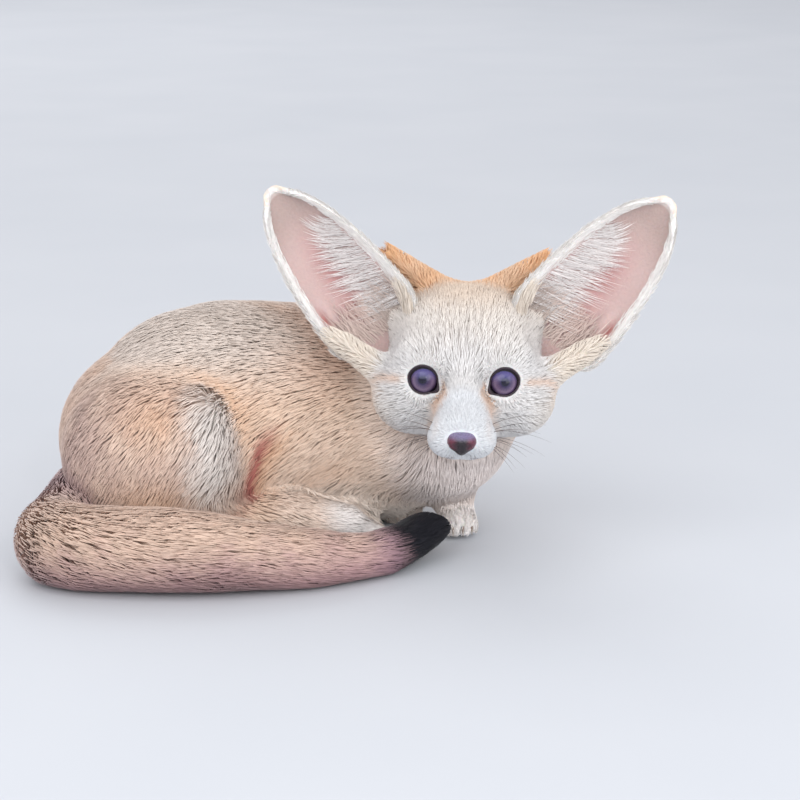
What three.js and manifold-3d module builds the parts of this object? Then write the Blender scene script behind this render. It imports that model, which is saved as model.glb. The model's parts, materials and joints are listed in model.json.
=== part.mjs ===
// A resting fennec fox at life size, as a museum model: it lies crouched on the floor, curled a little
// towards the viewer, with its head turned to face the viewer and its tail wrapped round the front of
// its body.
//
// Millimetres. +X runs from the rump to the chest, +Y runs away from the viewer that the face looks at,
// +Z is up and the floor is z = 0. The flesh is a field of rounded forms, and it includes the coat out to
// its tips. Each named part is its own stretch of that field, parted from its neighbours by a thin cut.

import * as THREE from 'three';
import { mergeVertices } from 'three/addons/utils/BufferGeometryUtils.js';
import Module from 'manifold-3d';

const wasm = await Module();
wasm.setup();

// Where the middle of the model's footprint lies in the coordinates that the forms below use
const footprintCentre = { x: -23.34, y: 9.84 };

// The head's own frame starts between the eyes. Its x runs to the left side of the face and its y to the
// nape.
const headPlace = { x: 26.5, y: -27, z: 85.6 };
const headRoll = 1.2; // degrees, the face's right eye up
const headYaw = -2.2; // degrees, the muzzle towards the rump
const eyeSpacing = 31.6;
const eyeHeight = -1.5;
const eyeballRadius = 8.4;

// Ears, in the head's frame. The right one is turned away a little, so it is narrower from the front.
const earRoot = [26, 13, 3];
const earTip = [85.6, 33, 71.5];
const earFacing = [-0.02, -0.97, 0.22];
const earWidths = { ear_left: 45.5, ear_right: 42 };
const earThickness = 2.6;
const earCup = 13.5; // depth of the hollow at the root
const earTipCup = 3.5;

// Legs and paws
const thighRadii = [41, 27, 38.5];
const kneeRadii = [17, 15, 29];
const shankRadii = [15, 12.5];
const footRadii = [12.5, 9.5];
const forearmRadii = [13, 8.6];
const pawRadii = [11, 8.6, 8];
const pawHeight = 7;
const toeRadii = [6.4, 3.3, 5.4];
const toeSides = [-6.2, -2.2, 2.2, 6.2];
const toeReach = 10.5; // from the middle of the paw to the middle of its longest toes
const toeHeight = 5.2;
const clawLength = 6;
const clawRadius = 0.9;
const clawRooted = 2.5; // how much of the claw lies in the toe

// Rounding where forms meet
const headFillet = 8;
const bodyFillet = 10;
const pawFillet = 3;
const tailFillet = 3;

// Gaps between parts
const partingGap = 0.36;
const seatGap = 0.5; // round an eye, the nose or a claw

const vec = (x, y, z) => new THREE.Vector3(x, y, z);
const radians = THREE.MathUtils.degToRad;

// Forms: each is a function of x, y, z that gives about the distance to a surface, negative inside it

// An ellipsoid, turned about Z by heading, in degrees
function ball([cx, cy, cz], [rx, ry, rz], heading = 0) {
  const cos = Math.cos(radians(heading));
  const sin = Math.sin(radians(heading));
  return (x, y, z) => {
    const px = (cos * (x - cx) + sin * (y - cy)) / rx;
    const py = (cos * (y - cy) - sin * (x - cx)) / ry;
    const pz = (z - cz) / rz;
    const near = Math.hypot(px, py, pz);
    return (near * (near - 1)) / Math.max(Math.hypot(px / rx, py / ry, pz / rz), 1e-9);
  };
}

// A round limb whose radius changes evenly from a to b. With breadth under 1 it is that much narrower in Y.
function limb(a, b, [ra, rb], breadth = 1) {
  const [ax, ay, az] = [a[0], a[1] / breadth, a[2]];
  const [dx, dy, dz] = [b[0] - ax, b[1] / breadth - ay, b[2] - az];
  const lengthSquared = dx * dx + dy * dy + dz * dz;
  return (x, y, z) => {
    const px = x - ax;
    const py = y / breadth - ay;
    const pz = z - az;
    const t = THREE.MathUtils.clamp((px * dx + py * dy + pz * dz) / lengthSquared, 0, 1);
    const away = Math.hypot(px - t * dx, py - t * dy, pz - t * dz);
    return (away - ra - t * (rb - ra)) * breadth;
  };
}

// A body round a smooth curve through stations, each one [x, y, z, radius]
function sweep(stations, steps, breadth = 1) {
  const curve = new THREE.CatmullRomCurve3(stations.map(([x, y, z]) => vec(x, y, z)));
  const radiusAt = (t) => {
    const along = t * (stations.length - 1);
    const i = Math.min(stations.length - 2, Math.floor(along));
    const blended = THREE.MathUtils.smoothstep(along - i, 0, 1);
    return THREE.MathUtils.lerp(stations[i][3], stations[i + 1][3], blended);
  };
  const links = Array.from({ length: steps }, (_, i) => {
    const [from, to] = [i / steps, (i + 1) / steps];
    const ends = [from, to].map((t) => curve.getPoint(t).toArray());
    return limb(...ends, [radiusAt(from), radiusAt(to)], breadth);
  });
  return (x, y, z) => links.reduce((least, link) => Math.min(least, link(x, y, z)), Infinity);
}

// Joins forms with a fillet of about the given size
function blend(fillet, ...forms) {
  return (x, y, z) =>
    forms.slice(1).reduce((d, form) => {
      const e = form(x, y, z);
      const overlap = Math.max(fillet - Math.abs(d - e), 0);
      return Math.min(d, e) - (overlap * overlap) / (4 * fillet);
    }, forms[0](x, y, z));
}

// Takes the cutter's form out of another, with a rounded rim
function carve(fillet, form, cutter) {
  const rest = blend(fillet, (x, y, z) => -form(x, y, z), cutter);
  return (x, y, z) => -rest(x, y, z);
}

// Head

const headTurn = new THREE.Matrix4().makeRotationFromEuler(
  new THREE.Euler(0, radians(headRoll), radians(headYaw), 'ZYX'),
);

// A point of the head's frame in the coordinates of the body
const fromHead = (x, y, z) => vec(x, y, z).applyMatrix4(headTurn).add(headPlace);

// A form of the head's frame, mirrored on both sides of the face
function inHead(form) {
  const m = headTurn.elements;
  return (x, y, z) => {
    const dx = x - headPlace.x;
    const dy = y - headPlace.y;
    const dz = z - headPlace.z;
    const across = m[0] * dx + m[1] * dy + m[2] * dz;
    const back = m[4] * dx + m[5] * dy + m[6] * dz;
    return form(Math.abs(across), back, m[8] * dx + m[9] * dy + m[10] * dz);
  };
}

function headForm() {
  const braincase = ball([0, 25, 5], [31, 35, 29]);
  const face = ball([0, 6, -5], [29, 14, 18]);
  const cheek = ball([21, 11, -11], [18, 21, 17]);
  const brow = ball([16, 1, 8], [11, 9, 8]);
  const earBase = limb([20, 30, 13], [32, 36, 24], [12, 7]);
  // The fold of fur that joins the ear's outer edge to the cheek, and the fur behind its inner edge
  const foldBend = [50, 14, 8];
  const earFold = blend(3, limb([26, 10, -7], foldBend, [8.5, 5]), limb(foldBend, [57.5, 15, 12.5], [5, 4]));
  const earBack = limb([10, 34, 26], [41, 31, 50], [8.5, 3]);
  const snout = limb([0, 0, -9], [0, -29, -17], [16.5, 9.5]);
  const noseBridge = limb([0, -4, -1], [0, -32, -13], [10, 6]);
  const lip = ball([6.4, -29.5, -18.5], [7.4, 9.5, 7.2]);
  const jaw = limb([0, 0, -20], [0, -23, -22.5], [12, 5]);
  const eyeSocket = ball([eyeSpacing / 2 + 0.6, -13.2, eyeHeight + 0.3], [8.6, 8, 7.6]);
  const skull = blend(headFillet + 1, braincase, face, cheek);
  const muzzle = blend(headFillet - 3, snout, noseBridge, lip, jaw);
  const whole = blend(headFillet / 2, blend(headFillet, skull, muzzle, brow, earBase), earFold, earBack);
  return inHead(carve(headFillet / 2, whole, eyeSocket));
}

function noseForm() {
  const pad = ball([0, -38, -16.6], [5.4, 5, 4]);
  const nostrilWing = ball([3.6, -37.4, -17.2], [2.9, 4, 3.4]);
  const groove = ball([0, -38.2, -20.5], [2.2, 3.6, 3.6]);
  return inHead(blend(2.5, pad, nostrilWing, groove));
}

// Legs and paws

// Where each paw stands, and where its toes point, in degrees from +X towards +Y
const paws = {
  forepaw_right: { middle: [25.5, 27], heading: -90 },
  forepaw_left: { middle: [1.5, 46], heading: -92 },
  hindpaw_right: { middle: [-19, 3], heading: 10 },
  hindpaw_left: { middle: [-19, 81], heading: 6 },
};

// The four toes of a paw: each one's middle, the place of its claw and the way that the claw points
function toesOf({ middle, heading }) {
  const cos = Math.cos(radians(heading));
  const sin = Math.sin(radians(heading));
  const place = (forward, side, up) =>
    vec(middle[0] + forward * cos - side * sin, middle[1] + forward * sin + side * cos, up);
  return toeSides.map((side) => {
    const reach = toeReach - Math.abs(side) * 0.55;
    const claw = place(reach + toeRadii[0] - 0.4, side, toeHeight);
    const slope = place(reach + toeRadii[0] + 0.6, side, toeHeight - 0.45).sub(claw).normalize();
    return { centre: place(reach, side, toeHeight), claw, slope };
  });
}

function pawForm(paw) {
  const toes = toesOf(paw).map(({ centre }) => ball(centre.toArray(), toeRadii, paw.heading));
  return blend(2.2, ball([...paw.middle, pawHeight], pawRadii, paw.heading), ...toes);
}

// The long hind foot: from the ankle to the middle of its paw
function hindFootForm(paw, ankle) {
  const [x, y] = paw.middle;
  return blend(pawFillet, limb(ankle, [x - 5, y - 1, 11.5], footRadii), pawForm(paw));
}

function hindLegForm(hip, knee, hock, ankle) {
  return blend(7, ball(hip, thighRadii), ball(knee, kneeRadii), limb(hock, ankle, shankRadii));
}

const ankleRight = [-50, -2, 16];
const ankleLeft = [-50, 78, 14];
const forelegRight = limb([18, 36, 46], [24.5, 32, 14], forearmRadii);
const forelegLeft = limb([-2, 62, 36], [1.5, 54, 14], forearmRadii);
const shoulderLeft = ball([-4, 62, 44], [20, 16, 26]);

// Trunk, neck and tail

const trunkStations = [
  [-107, 25, 44, 43.5],
  [-83, 33, 51, 52],
  [-50, 42, 50.5, 50.5],
  [-18, 44, 46, 45],
  [6, 40, 52, 38],
];
const trunkBreadth = 0.9;
// Where the belly's fur rests on each hind foot
const foldRight = limb([-50, 8, 20], [-16, 14, 13], [8.5, 7.5]);
const foldLeft = limb([-50, 71, 18], [-20, 71.5, 13], [8, 7]);
const neckForm = limb([28, 10, 70], [6, 42, 56], [30, 38]);
const breastForm = ball([18, 24, 44], [30, 29, 26]);

const darkTipStart = [-6, -30, 10, 9.5];
const tailStations = [
  [-127, 34, 38, 12],
  [-137, 18, 26, 14],
  [-142, -13, 18.5, 16.5],
  [-142, -42, 17.5, 18.5],
  [-92, -53, 18.5, 18],
  [-44, -48, 13.5, 13.5],
  [-18, -38, 10.5, 10.2],
  darkTipStart,
];
const tailTipStations = [darkTipStart, [3, -20, 11, 9.5], [10, -11, 12.5, 9], [17, -4, 12, 5.5]];

// Parts of flesh: each has its form and the size of its facets. Where two forms lie over each other, claim
// gives a part that many more millimetres of the ground between them.
const flesh = {
  head: { form: headForm(), facet: 5 },
  tail_tip: { form: sweep(tailTipStations, 8), facet: 5.4 },
  tail: { form: sweep(tailStations, 21), facet: 9.6 },
  forepaw_right: { form: pawForm(paws.forepaw_right), facet: 4.6 },
  forepaw_left: { form: pawForm(paws.forepaw_left), facet: 4.6 },
  hindpaw_right: { form: hindFootForm(paws.hindpaw_right, ankleRight), facet: 5.8 },
  hindpaw_left: { form: hindFootForm(paws.hindpaw_left, ankleLeft), facet: 5.8 },
  foreleg_right: { form: forelegRight, facet: 8, claim: 10 },
  foreleg_left: { form: blend(6, shoulderLeft, forelegLeft), facet: 9.2, claim: 8 },
  hindleg_right: {
    form: hindLegForm([-104, -2, 42], [-84, -12, 48], [-97, -11, 15], ankleRight),
    facet: 11.5,
    claim: 3,
  },
  hindleg_left: {
    form: hindLegForm([-98, 60, 42], [-74, 68, 46], [-92, 72, 15], ankleLeft),
    facet: 11.5,
    claim: 3,
  },
  neck: { form: blend(bodyFillet + 2, neckForm, breastForm), facet: 12 },
  trunk: { form: blend(6, sweep(trunkStations, 10, trunkBreadth), foldRight, foldLeft), facet: 15 },
};

const namesWith = (word) => Object.keys(flesh).filter((name) => name.includes(word));
const formsOf = (word) => namesWith(word).map((name) => flesh[name].form);
const torso = blend(bodyFillet, ...['head', 'neck', 'trunk', 'foreleg', 'hindleg'].flatMap(formsOf));
const body = blend(pawFillet, torso, ...formsOf('paw'));
const brush = blend(tailFillet, ...formsOf('tail'));

// Meshing

const cubeCorners = [0, 1, 2, 3, 4, 5, 6, 7].map((c) => [c & 1, (c >> 1) & 1, c >> 2]);
const axes = [[1, 0, 0], [0, 1, 0], [0, 0, 1]];

// The surface where a field is zero, as a closed mesh of nearly equal facets. One vertex is set in each
// cell that the surface crosses, and is then drawn onto the surface.
function surfaceOf(field, box, cell) {
  const grid = sampleGrid(field, box, cell);
  const points = [];
  const pointOf = new Map();
  grid.eachCell((i, j, k) => {
    const sum = vec(0, 0, 0);
    let crossings = 0;
    for (const [a, b, c] of cubeCorners) {
      for (const [u, v, w] of axes) {
        if (a + u > 1 || b + v > 1 || c + w > 1) continue;
        const from = grid.valueAt(i + a, j + b, k + c);
        const to = grid.valueAt(i + a + u, j + b + v, k + c + w);
        if (from < 0 === to < 0) continue;
        const t = from / (from - to);
        sum.add(vec(i + a + t * u, j + b + t * v, k + c + t * w));
        crossings++;
      }
    }
    if (!crossings) return;
    pointOf.set(grid.indexAt(i, j, k), points.length);
    points.push(sum.divideScalar(crossings).multiplyScalar(cell).add(grid.origin));
  });
  for (const p of points) drawOnto(field, p, cell / 2);

  const faces = [];
  grid.eachCell((i, j, k) => {
    const inside = grid.valueAt(i, j, k) < 0;
    axes.forEach(([u, v, w]) => {
      if (inside === grid.valueAt(i + u, j + v, k + w) < 0) return;
      // The four cells round this edge of the grid, in turn
      const [p, q, r, s] = [[1, 1], [0, 1], [0, 0], [1, 0]].map(([m, n]) =>
        pointOf.get(grid.indexAt(i - (v ? n : w * m), j - (w ? n : u * m), k - (u ? n : v * m))),
      );
      const short = points[p].distanceTo(points[r]) < points[q].distanceTo(points[s]);
      const quad = short ? [p, q, r, p, r, s] : [p, q, s, q, r, s];
      faces.push(...(inside ? quad : quad.reverse()));
    });
  });
  return new THREE.BufferGeometry().setFromPoints(points).setIndex(faces);
}

// The field's values on a grid of cubes round a box. The grid's rim counts as outside, so every surface is
// closed.
function sampleGrid(field, box, cell) {
  const [nx, ny, nz] = box.getSize(vec(0, 0, 0)).toArray().map((length) => Math.ceil(length / cell) + 3);
  const origin = box.getCenter(vec(0, 0, 0)).sub(vec(nx - 1, ny - 1, nz - 1).multiplyScalar(cell / 2));
  const indexAt = (i, j, k) => (k * ny + j) * nx + i;
  const values = new Float32Array(nx * ny * nz);
  for (let k = 0; k < nz; k++) {
    for (let j = 0; j < ny; j++) {
      for (let i = 0; i < nx; i++) {
        const value = field(origin.x + i * cell, origin.y + j * cell, origin.z + k * cell);
        const rim = i % (nx - 1) === 0 || j % (ny - 1) === 0 || k % (nz - 1) === 0;
        values[indexAt(i, j, k)] = rim ? Math.max(value, cell / 2) : value;
      }
    }
  }
  const eachCell = (visit) => {
    for (let k = 0; k < nz - 1; k++) {
      for (let j = 0; j < ny - 1; j++) {
        for (let i = 0; i < nx - 1; i++) visit(i, j, k);
      }
    }
  };
  const grid = { origin, indexAt, eachCell, valueAt: (i, j, k) => values[indexAt(i, j, k)] };
  while (fillCrevices(grid, values, cell)) continue;
  return grid;
}

// Fills each crevice narrower than a cell, where the mesh would touch itself along an edge. It tells
// whether there was one.
function fillCrevices({ indexAt, eachCell }, values, cell) {
  let filled = false;
  eachCell((i, j, k) => {
    for (const [u, v, w] of axes) {
      const square = [[0, 0], [1, 0], [1, 1], [0, 1]].map(([m, n]) =>
        indexAt(i + (v ? n : w * m), j + (w ? n : u * m), k + (u ? n : v * m)),
      );
      const inside = square.map((corner) => values[corner] < 0);
      if (inside[0] !== inside[2] || inside[1] !== inside[3] || inside[0] === inside[1]) continue;
      for (const corner of square) values[corner] = Math.min(values[corner], -0.05 * cell);
      filled = true;
    }
  });
  return filled;
}

// Moves a point along the field's slope onto the surface, by no more than the given reach
function drawOnto(field, p, reach) {
  const step = 0.05;
  const start = p.clone();
  for (let pass = 0; pass < 3; pass++) {
    const here = field(p.x, p.y, p.z);
    const slope = vec(
      field(p.x + step, p.y, p.z) - here,
      field(p.x, p.y + step, p.z) - here,
      field(p.x, p.y, p.z + step) - here,
    ).divideScalar(step);
    if (slope.lengthSq() > 0.05) p.addScaledVector(slope, -here / slope.lengthSq());
  }
  p.sub(start).clampLength(0, reach).add(start);
}

// The box that holds a form, found by sampling it
function boxOf(form, margin) {
  const box = new THREE.Box3();
  const coarse = 6;
  for (let x = -190; x < 90; x += coarse) {
    for (let y = -90; y < 120; y += coarse) {
      for (let z = -10; z < 150; z += coarse) {
        if (form(x, y, z) < coarse) box.expandByPoint(vec(x, y, z));
      }
    }
  }
  return box.expandByScalar(margin);
}

// Solids

function bareGeometry(geometry) {
  const bare = geometry.clone();
  bare.deleteAttribute('normal');
  bare.deleteAttribute('uv');
  return mergeVertices(bare, 1e-4);
}

function solidOf(geometry) {
  const bare = bareGeometry(geometry);
  const vertProperties = new Float32Array(bare.attributes.position.array);
  const triVerts = new Uint32Array(bare.index.array);
  return new wasm.Manifold(new wasm.Mesh({ numProp: 3, vertProperties, triVerts }));
}

function geometryOf(solid) {
  const { vertProperties, triVerts } = solid.getMesh();
  return new THREE.BufferGeometry()
    .setAttribute('position', new THREE.BufferAttribute(vertProperties, 3))
    .setIndex(new THREE.BufferAttribute(triVerts, 1));
}

// A solid of the same mesh with each vertex moved out along its normal
function grownSolid(geometry, by) {
  const copy = bareGeometry(geometry);
  copy.computeVertexNormals();
  const { position, normal } = copy.attributes;
  for (let i = 0; i < position.count; i++) {
    const moved = vec().fromBufferAttribute(normal, i).multiplyScalar(by);
    position.setXYZ(i, ...moved.add(vec().fromBufferAttribute(position, i)).toArray());
  }
  return solidOf(copy);
}

const largest = (solid) => solid.decompose().reduce((a, b) => (a.volume() > b.volume() ? a : b));

function boxesMeet(a, b) {
  const [p, q] = [a.boundingBox(), b.boundingBox()];
  return [0, 1, 2].every((axis) => p.min[axis] < q.max[axis] && q.min[axis] < p.max[axis]);
}

// Parting the flesh

const overReach = 1.5; // how far a part's stretch runs into earlier parts, which are then cut out of it
const looseReach = 8; // and how far it runs beyond the part's own form, to take in the fillets

// The stretch of space that a part takes: where its own form, grown by its claim, is the nearest
function stretchOf(name) {
  const names = Object.keys(flesh);
  const distance = (other, x, y, z) => flesh[other].form(x, y, z) - (flesh[other].claim ?? 0);
  const earlier = names.slice(0, names.indexOf(name));
  const later = names.slice(names.indexOf(name) + 1);
  return (x, y, z) => {
    const nearest = (others) => Math.min(...others.map((other) => distance(other, x, y, z)), 1e3);
    const own = distance(name, x, y, z);
    return Math.max(own - nearest(later), own - nearest(earlier) - overReach, own - looseReach);
  };
}

const solids = {};
const taken = [];
let headGrown;
for (const [name, { form, facet }] of Object.entries(flesh)) {
  const box = boxOf(form, looseReach);
  const outer = surfaceOf(name.startsWith('tail') ? brush : body, box, facet);
  const stretch = surfaceOf(stretchOf(name), box, facet * 2);
  let solid = solidOf(outer).intersect(solidOf(stretch));
  for (const earlier of taken) solid = solid.subtract(earlier);
  taken.push(grownSolid(stretch, partingGap).add(solidOf(stretch)));
  solids[name] = largest(solid);
  if (name === 'head') headGrown = grownSolid(outer, partingGap);
}

// Eyes, nose and claws, each set in a seat that is cut out of the flesh

const inserts = {};

for (const [name, side] of [['eye_left', 1], ['eye_right', -1]]) {
  const centre = fromHead((side * eyeSpacing) / 2, 0, eyeHeight);
  inserts[name] = new THREE.IcosahedronGeometry(eyeballRadius, 2).translate(...centre.toArray());
}

const noseBox = new THREE.Box3().setFromCenterAndSize(fromHead(0, -38, -18), vec(20, 16, 18));
inserts.nose = surfaceOf(noseForm(), noseBox, 2.3);

for (const [paw, place] of Object.entries(paws)) {
  toesOf(place).forEach(({ claw, slope }, i) => {
    const turn = new THREE.Quaternion().setFromUnitVectors(vec(0, 1, 0), slope);
    const cone = new THREE.ConeGeometry(clawRadius, clawLength, 6);
    cone.translate(0, clawLength / 2 - clawRooted, 0).applyQuaternion(turn).translate(...claw.toArray());
    inserts[`claw_${paw}_${i + 1}`] = cone;
  });
}

for (const [name, geometry] of Object.entries(inserts)) {
  const seat = grownSolid(geometry, seatGap);
  for (const part of Object.keys(flesh)) {
    if (boxesMeet(solids[part], seat)) solids[part] = largest(solids[part].subtract(seat));
  }
  solids[name] = solidOf(geometry);
}

// Ears: thin cupped shells that end at the head

// A point of the middle of an ear's shell. t runs from the root to the tip and s from the inner edge at -1
// to the outer edge at 1. side is 1 for the ear at +X.
function earPoint(t, s, side, width) {
  const axis = vec(...earTip).sub(vec(...earRoot));
  const across = axis.clone().cross(vec(...earFacing)).normalize();
  const facing = across.clone().cross(axis).normalize();
  const rise = THREE.MathUtils.clamp(t, 0, 0.99);
  const narrowRoot = 0.6 + 0.4 * THREE.MathUtils.smoothstep(rise, 0, 0.25);
  const half = (width / 2) * Math.sqrt(1 - rise ** 2.6) * narrowRoot;
  const cup = THREE.MathUtils.lerp(earTipCup, earCup, (1 - rise) ** 0.7) * Math.min(1, half / 14);
  const p = vec(...earRoot).addScaledVector(axis, t * (1 - 0.06 * t * s * s));
  p.addScaledVector(across, s * half).addScaledVector(facing, cup * (Math.abs(s) ** 2.2 - 1));
  return fromHead(p.x * side, p.y, p.z);
}

function earSolid(side, width) {
  const [rows, columns] = [9, 6];
  const place = (t, s) => earPoint(t, s, side, width);
  const faceOf = (offsetSign) => {
    const points = [];
    for (let i = 0; i <= rows; i++) {
      for (let j = 0; j <= columns; j++) {
        const t = 0.99 * (1 - (1 - i / rows) ** 1.6);
        const s = (2 * j) / columns - 1;
        const along = place(t + 0.01, s).sub(place(t - 0.01, s));
        const over = place(t, s + 0.01).sub(place(t, s - 0.01));
        const rim = i === rows || j === 0 || j === columns;
        const thickness = earThickness * (rim ? 0.35 : 1) * (1.6 - 0.6 * t);
        const normal = over.cross(along).setLength((side * offsetSign * thickness) / 2);
        points.push(place(t, s).add(normal));
      }
    }
    return points;
  };
  const points = [...faceOf(1), ...faceOf(-1)];
  const at = (i, j, layer) => (layer * (rows + 1) + i) * (columns + 1) + j;
  const faces = [];
  const tile = (a, b, c, d) => faces.push(...(side > 0 ? [a, b, c, a, c, d] : [c, b, a, d, c, a]));
  for (let i = 0; i < rows; i++) {
    for (let j = 0; j < columns; j++) {
      tile(at(i, j, 0), at(i, j + 1, 0), at(i + 1, j + 1, 0), at(i + 1, j, 0));
      tile(at(i + 1, j, 1), at(i + 1, j + 1, 1), at(i, j + 1, 1), at(i, j, 1));
    }
    tile(at(i + 1, 0, 0), at(i + 1, 0, 1), at(i, 0, 1), at(i, 0, 0));
    tile(at(i, columns, 0), at(i, columns, 1), at(i + 1, columns, 1), at(i + 1, columns, 0));
  }
  for (let j = 0; j < columns; j++) {
    tile(at(0, j, 0), at(0, j, 1), at(0, j + 1, 1), at(0, j + 1, 0));
    tile(at(rows, j + 1, 0), at(rows, j + 1, 1), at(rows, j, 1), at(rows, j, 0));
  }
  return solidOf(new THREE.BufferGeometry().setFromPoints(points).setIndex(faces));
}

solids.ear_left = largest(earSolid(1, earWidths.ear_left).subtract(headGrown));
solids.ear_right = largest(earSolid(-1, earWidths.ear_right).subtract(headGrown));

// The finished model: each solid is planed off at the floor and named

const looks = {
  eye: { color: 0x2a1c1c, roughness: 0.1 },
  nose: { color: 0x3a2a2c, roughness: 0.5 },
  claw: { color: 0x6b5a50, roughness: 0.4 },
  ear: { color: 0xe3c4b6, roughness: 0.9 },
  head: { color: 0xe8e0d4, roughness: 0.95 },
  tail_tip: { color: 0x4a3f44, roughness: 0.95 },
  tail: { color: 0xc9aa8c, roughness: 0.95 },
  hindpaw: { color: 0xece6dc, roughness: 0.95 },
  fore: { color: 0xe6dccf, roughness: 0.95 },
};
const sandyCoat = { color: 0xd2b79d, roughness: 0.95 };

const floorDepth = 60;
const belowFloor = solidOf(new THREE.BoxGeometry(600, 600, floorDepth).translate(0, 0, -floorDepth / 2));

function meshOf(name, solid) {
  const kind = Object.keys(looks).find((word) => name.startsWith(word));
  const grounded = geometryOf(largest(solid.subtract(belowFloor)));
  grounded.translate(-footprintCentre.x, -footprintCentre.y, 0);
  const material = new THREE.MeshStandardMaterial({ ...(looks[kind] ?? sandyCoat), metalness: 0 });
  const mesh = new THREE.Mesh(grounded, material);
  mesh.name = name;
  return mesh;
}

const fox = new THREE.Group();
fox.name = 'fennec_fox';
for (const [name, solid] of Object.entries(solids)) fox.add(meshOf(name, solid));

export default fox;
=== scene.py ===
import json
import math

import bpy
import numpy as np
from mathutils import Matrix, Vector, kdtree

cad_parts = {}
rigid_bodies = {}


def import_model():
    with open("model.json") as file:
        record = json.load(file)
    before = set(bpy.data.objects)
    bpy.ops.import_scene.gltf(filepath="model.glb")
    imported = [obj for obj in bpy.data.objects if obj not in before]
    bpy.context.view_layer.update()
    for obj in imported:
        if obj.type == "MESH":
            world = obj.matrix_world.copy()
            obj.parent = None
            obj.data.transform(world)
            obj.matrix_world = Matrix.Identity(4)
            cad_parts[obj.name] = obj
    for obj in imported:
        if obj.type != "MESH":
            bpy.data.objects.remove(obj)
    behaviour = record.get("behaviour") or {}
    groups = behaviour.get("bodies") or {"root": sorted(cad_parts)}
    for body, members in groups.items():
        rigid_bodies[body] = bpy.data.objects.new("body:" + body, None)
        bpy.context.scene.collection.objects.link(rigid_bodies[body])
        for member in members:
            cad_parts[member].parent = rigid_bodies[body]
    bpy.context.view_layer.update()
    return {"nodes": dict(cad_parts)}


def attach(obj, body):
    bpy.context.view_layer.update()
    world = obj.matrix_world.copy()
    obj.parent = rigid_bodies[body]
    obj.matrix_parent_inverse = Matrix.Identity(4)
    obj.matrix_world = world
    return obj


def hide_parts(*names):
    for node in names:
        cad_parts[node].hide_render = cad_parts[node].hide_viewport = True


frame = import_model()
nodes = frame["nodes"]
chance = np.random.default_rng(5)
scene = bpy.context.scene
print("frame loaded")


# Small helpers

def linear(hexColour):
    # a sRGB hex value as linear red, green and blue
    srgb = np.array([int(hexColour[i:i + 2], 16) for i in (1, 3, 5)]) / 255
    return np.where(srgb <= 0.04045, srgb / 12.92, ((srgb + 0.055) / 1.055) ** 2.4)


def unit(vectors):
    return vectors / np.maximum(np.linalg.norm(vectors, axis=-1, keepdims=True), 1e-9)


def fade(values, low, high):
    # 0 below low, 1 above high and smooth between; low may be the larger
    t = np.clip((values - low) / (high - low), 0, 1)
    return t * t * (3 - 2 * t)


def bell(values, middle, width):
    return np.exp(-((values - middle) / width) ** 2)


def waves(points, size, seed):
    # smooth noise from -1 to 1, with features about that many millimetres across
    rng = np.random.default_rng(seed)
    total = np.zeros(len(points))
    for _ in range(7):
        way = unit(rng.normal(size=3)) * rng.uniform(0.6, 1.5)
        total += np.sin(points @ way * (math.pi / size) + rng.uniform(0, 6.3))
    return np.clip(total / 3.5, -1, 1)


def deselect():
    if bpy.context.object and bpy.context.object.mode != "OBJECT":
        bpy.ops.object.mode_set(mode="OBJECT")
    bpy.ops.object.select_all(action="DESELECT")


def pick(*pieces):
    deselect()
    for piece in pieces:
        piece.select_set(True)
    bpy.context.view_layer.objects.active = pieces[0]
    return pieces[0]


def applyModifier(piece, kind, **settings):
    pick(piece)
    bpy.ops.object.modifier_add(type=kind)
    modifier = piece.modifiers[-1]
    for key, value in settings.items():
        setattr(modifier, key, value)
    bpy.ops.object.modifier_apply(modifier=modifier.name)


def verticesOf(piece):
    flat = np.empty(len(piece.data.vertices) * 3, np.float32)
    piece.data.vertices.foreach_get("co", flat)
    return flat.reshape(-1, 3).astype(float)


def moveVertices(piece, points):
    piece.data.vertices.foreach_set("co", points.astype(np.float32).ravel())
    piece.data.update()


# The forms of the body: the same as the solids', in millimetres. Each gives about the distance to its surface,
# negative inside.

footprintCentre = np.array([-23.34, 9.84, 0])


def toForm(metres):
    return np.asarray(metres) * 1000 + footprintCentre


def toFrame(millimetres):
    return (np.asarray(millimetres) - footprintCentre) / 1000


def ball(centre, radii, heading=0):
    cos, sin = math.cos(math.radians(heading)), math.sin(math.radians(heading))
    turn = np.array([[cos, -sin, 0], [sin, cos, 0], [0, 0, 1]])
    centre, radii = np.array(centre, float), np.array(radii, float)

    def distance(points):
        reach = ((points - centre) @ turn) / radii
        near = np.linalg.norm(reach, axis=1)
        return near * (near - 1) / np.maximum(np.linalg.norm(reach / radii, axis=1), 1e-9)
    return distance


def limb(start, end, radii, breadth=1.0):
    squash = np.array([1, 1 / breadth, 1])
    start = np.array(start, float) * squash
    axis = np.array(end, float) * squash - start

    def distance(points):
        away = points * squash - start
        t = np.clip(away @ axis / (axis @ axis), 0, 1)
        away -= t[:, None] * axis
        return (np.linalg.norm(away, axis=1) - radii[0] - t * (radii[1] - radii[0])) * breadth
    return distance


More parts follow.
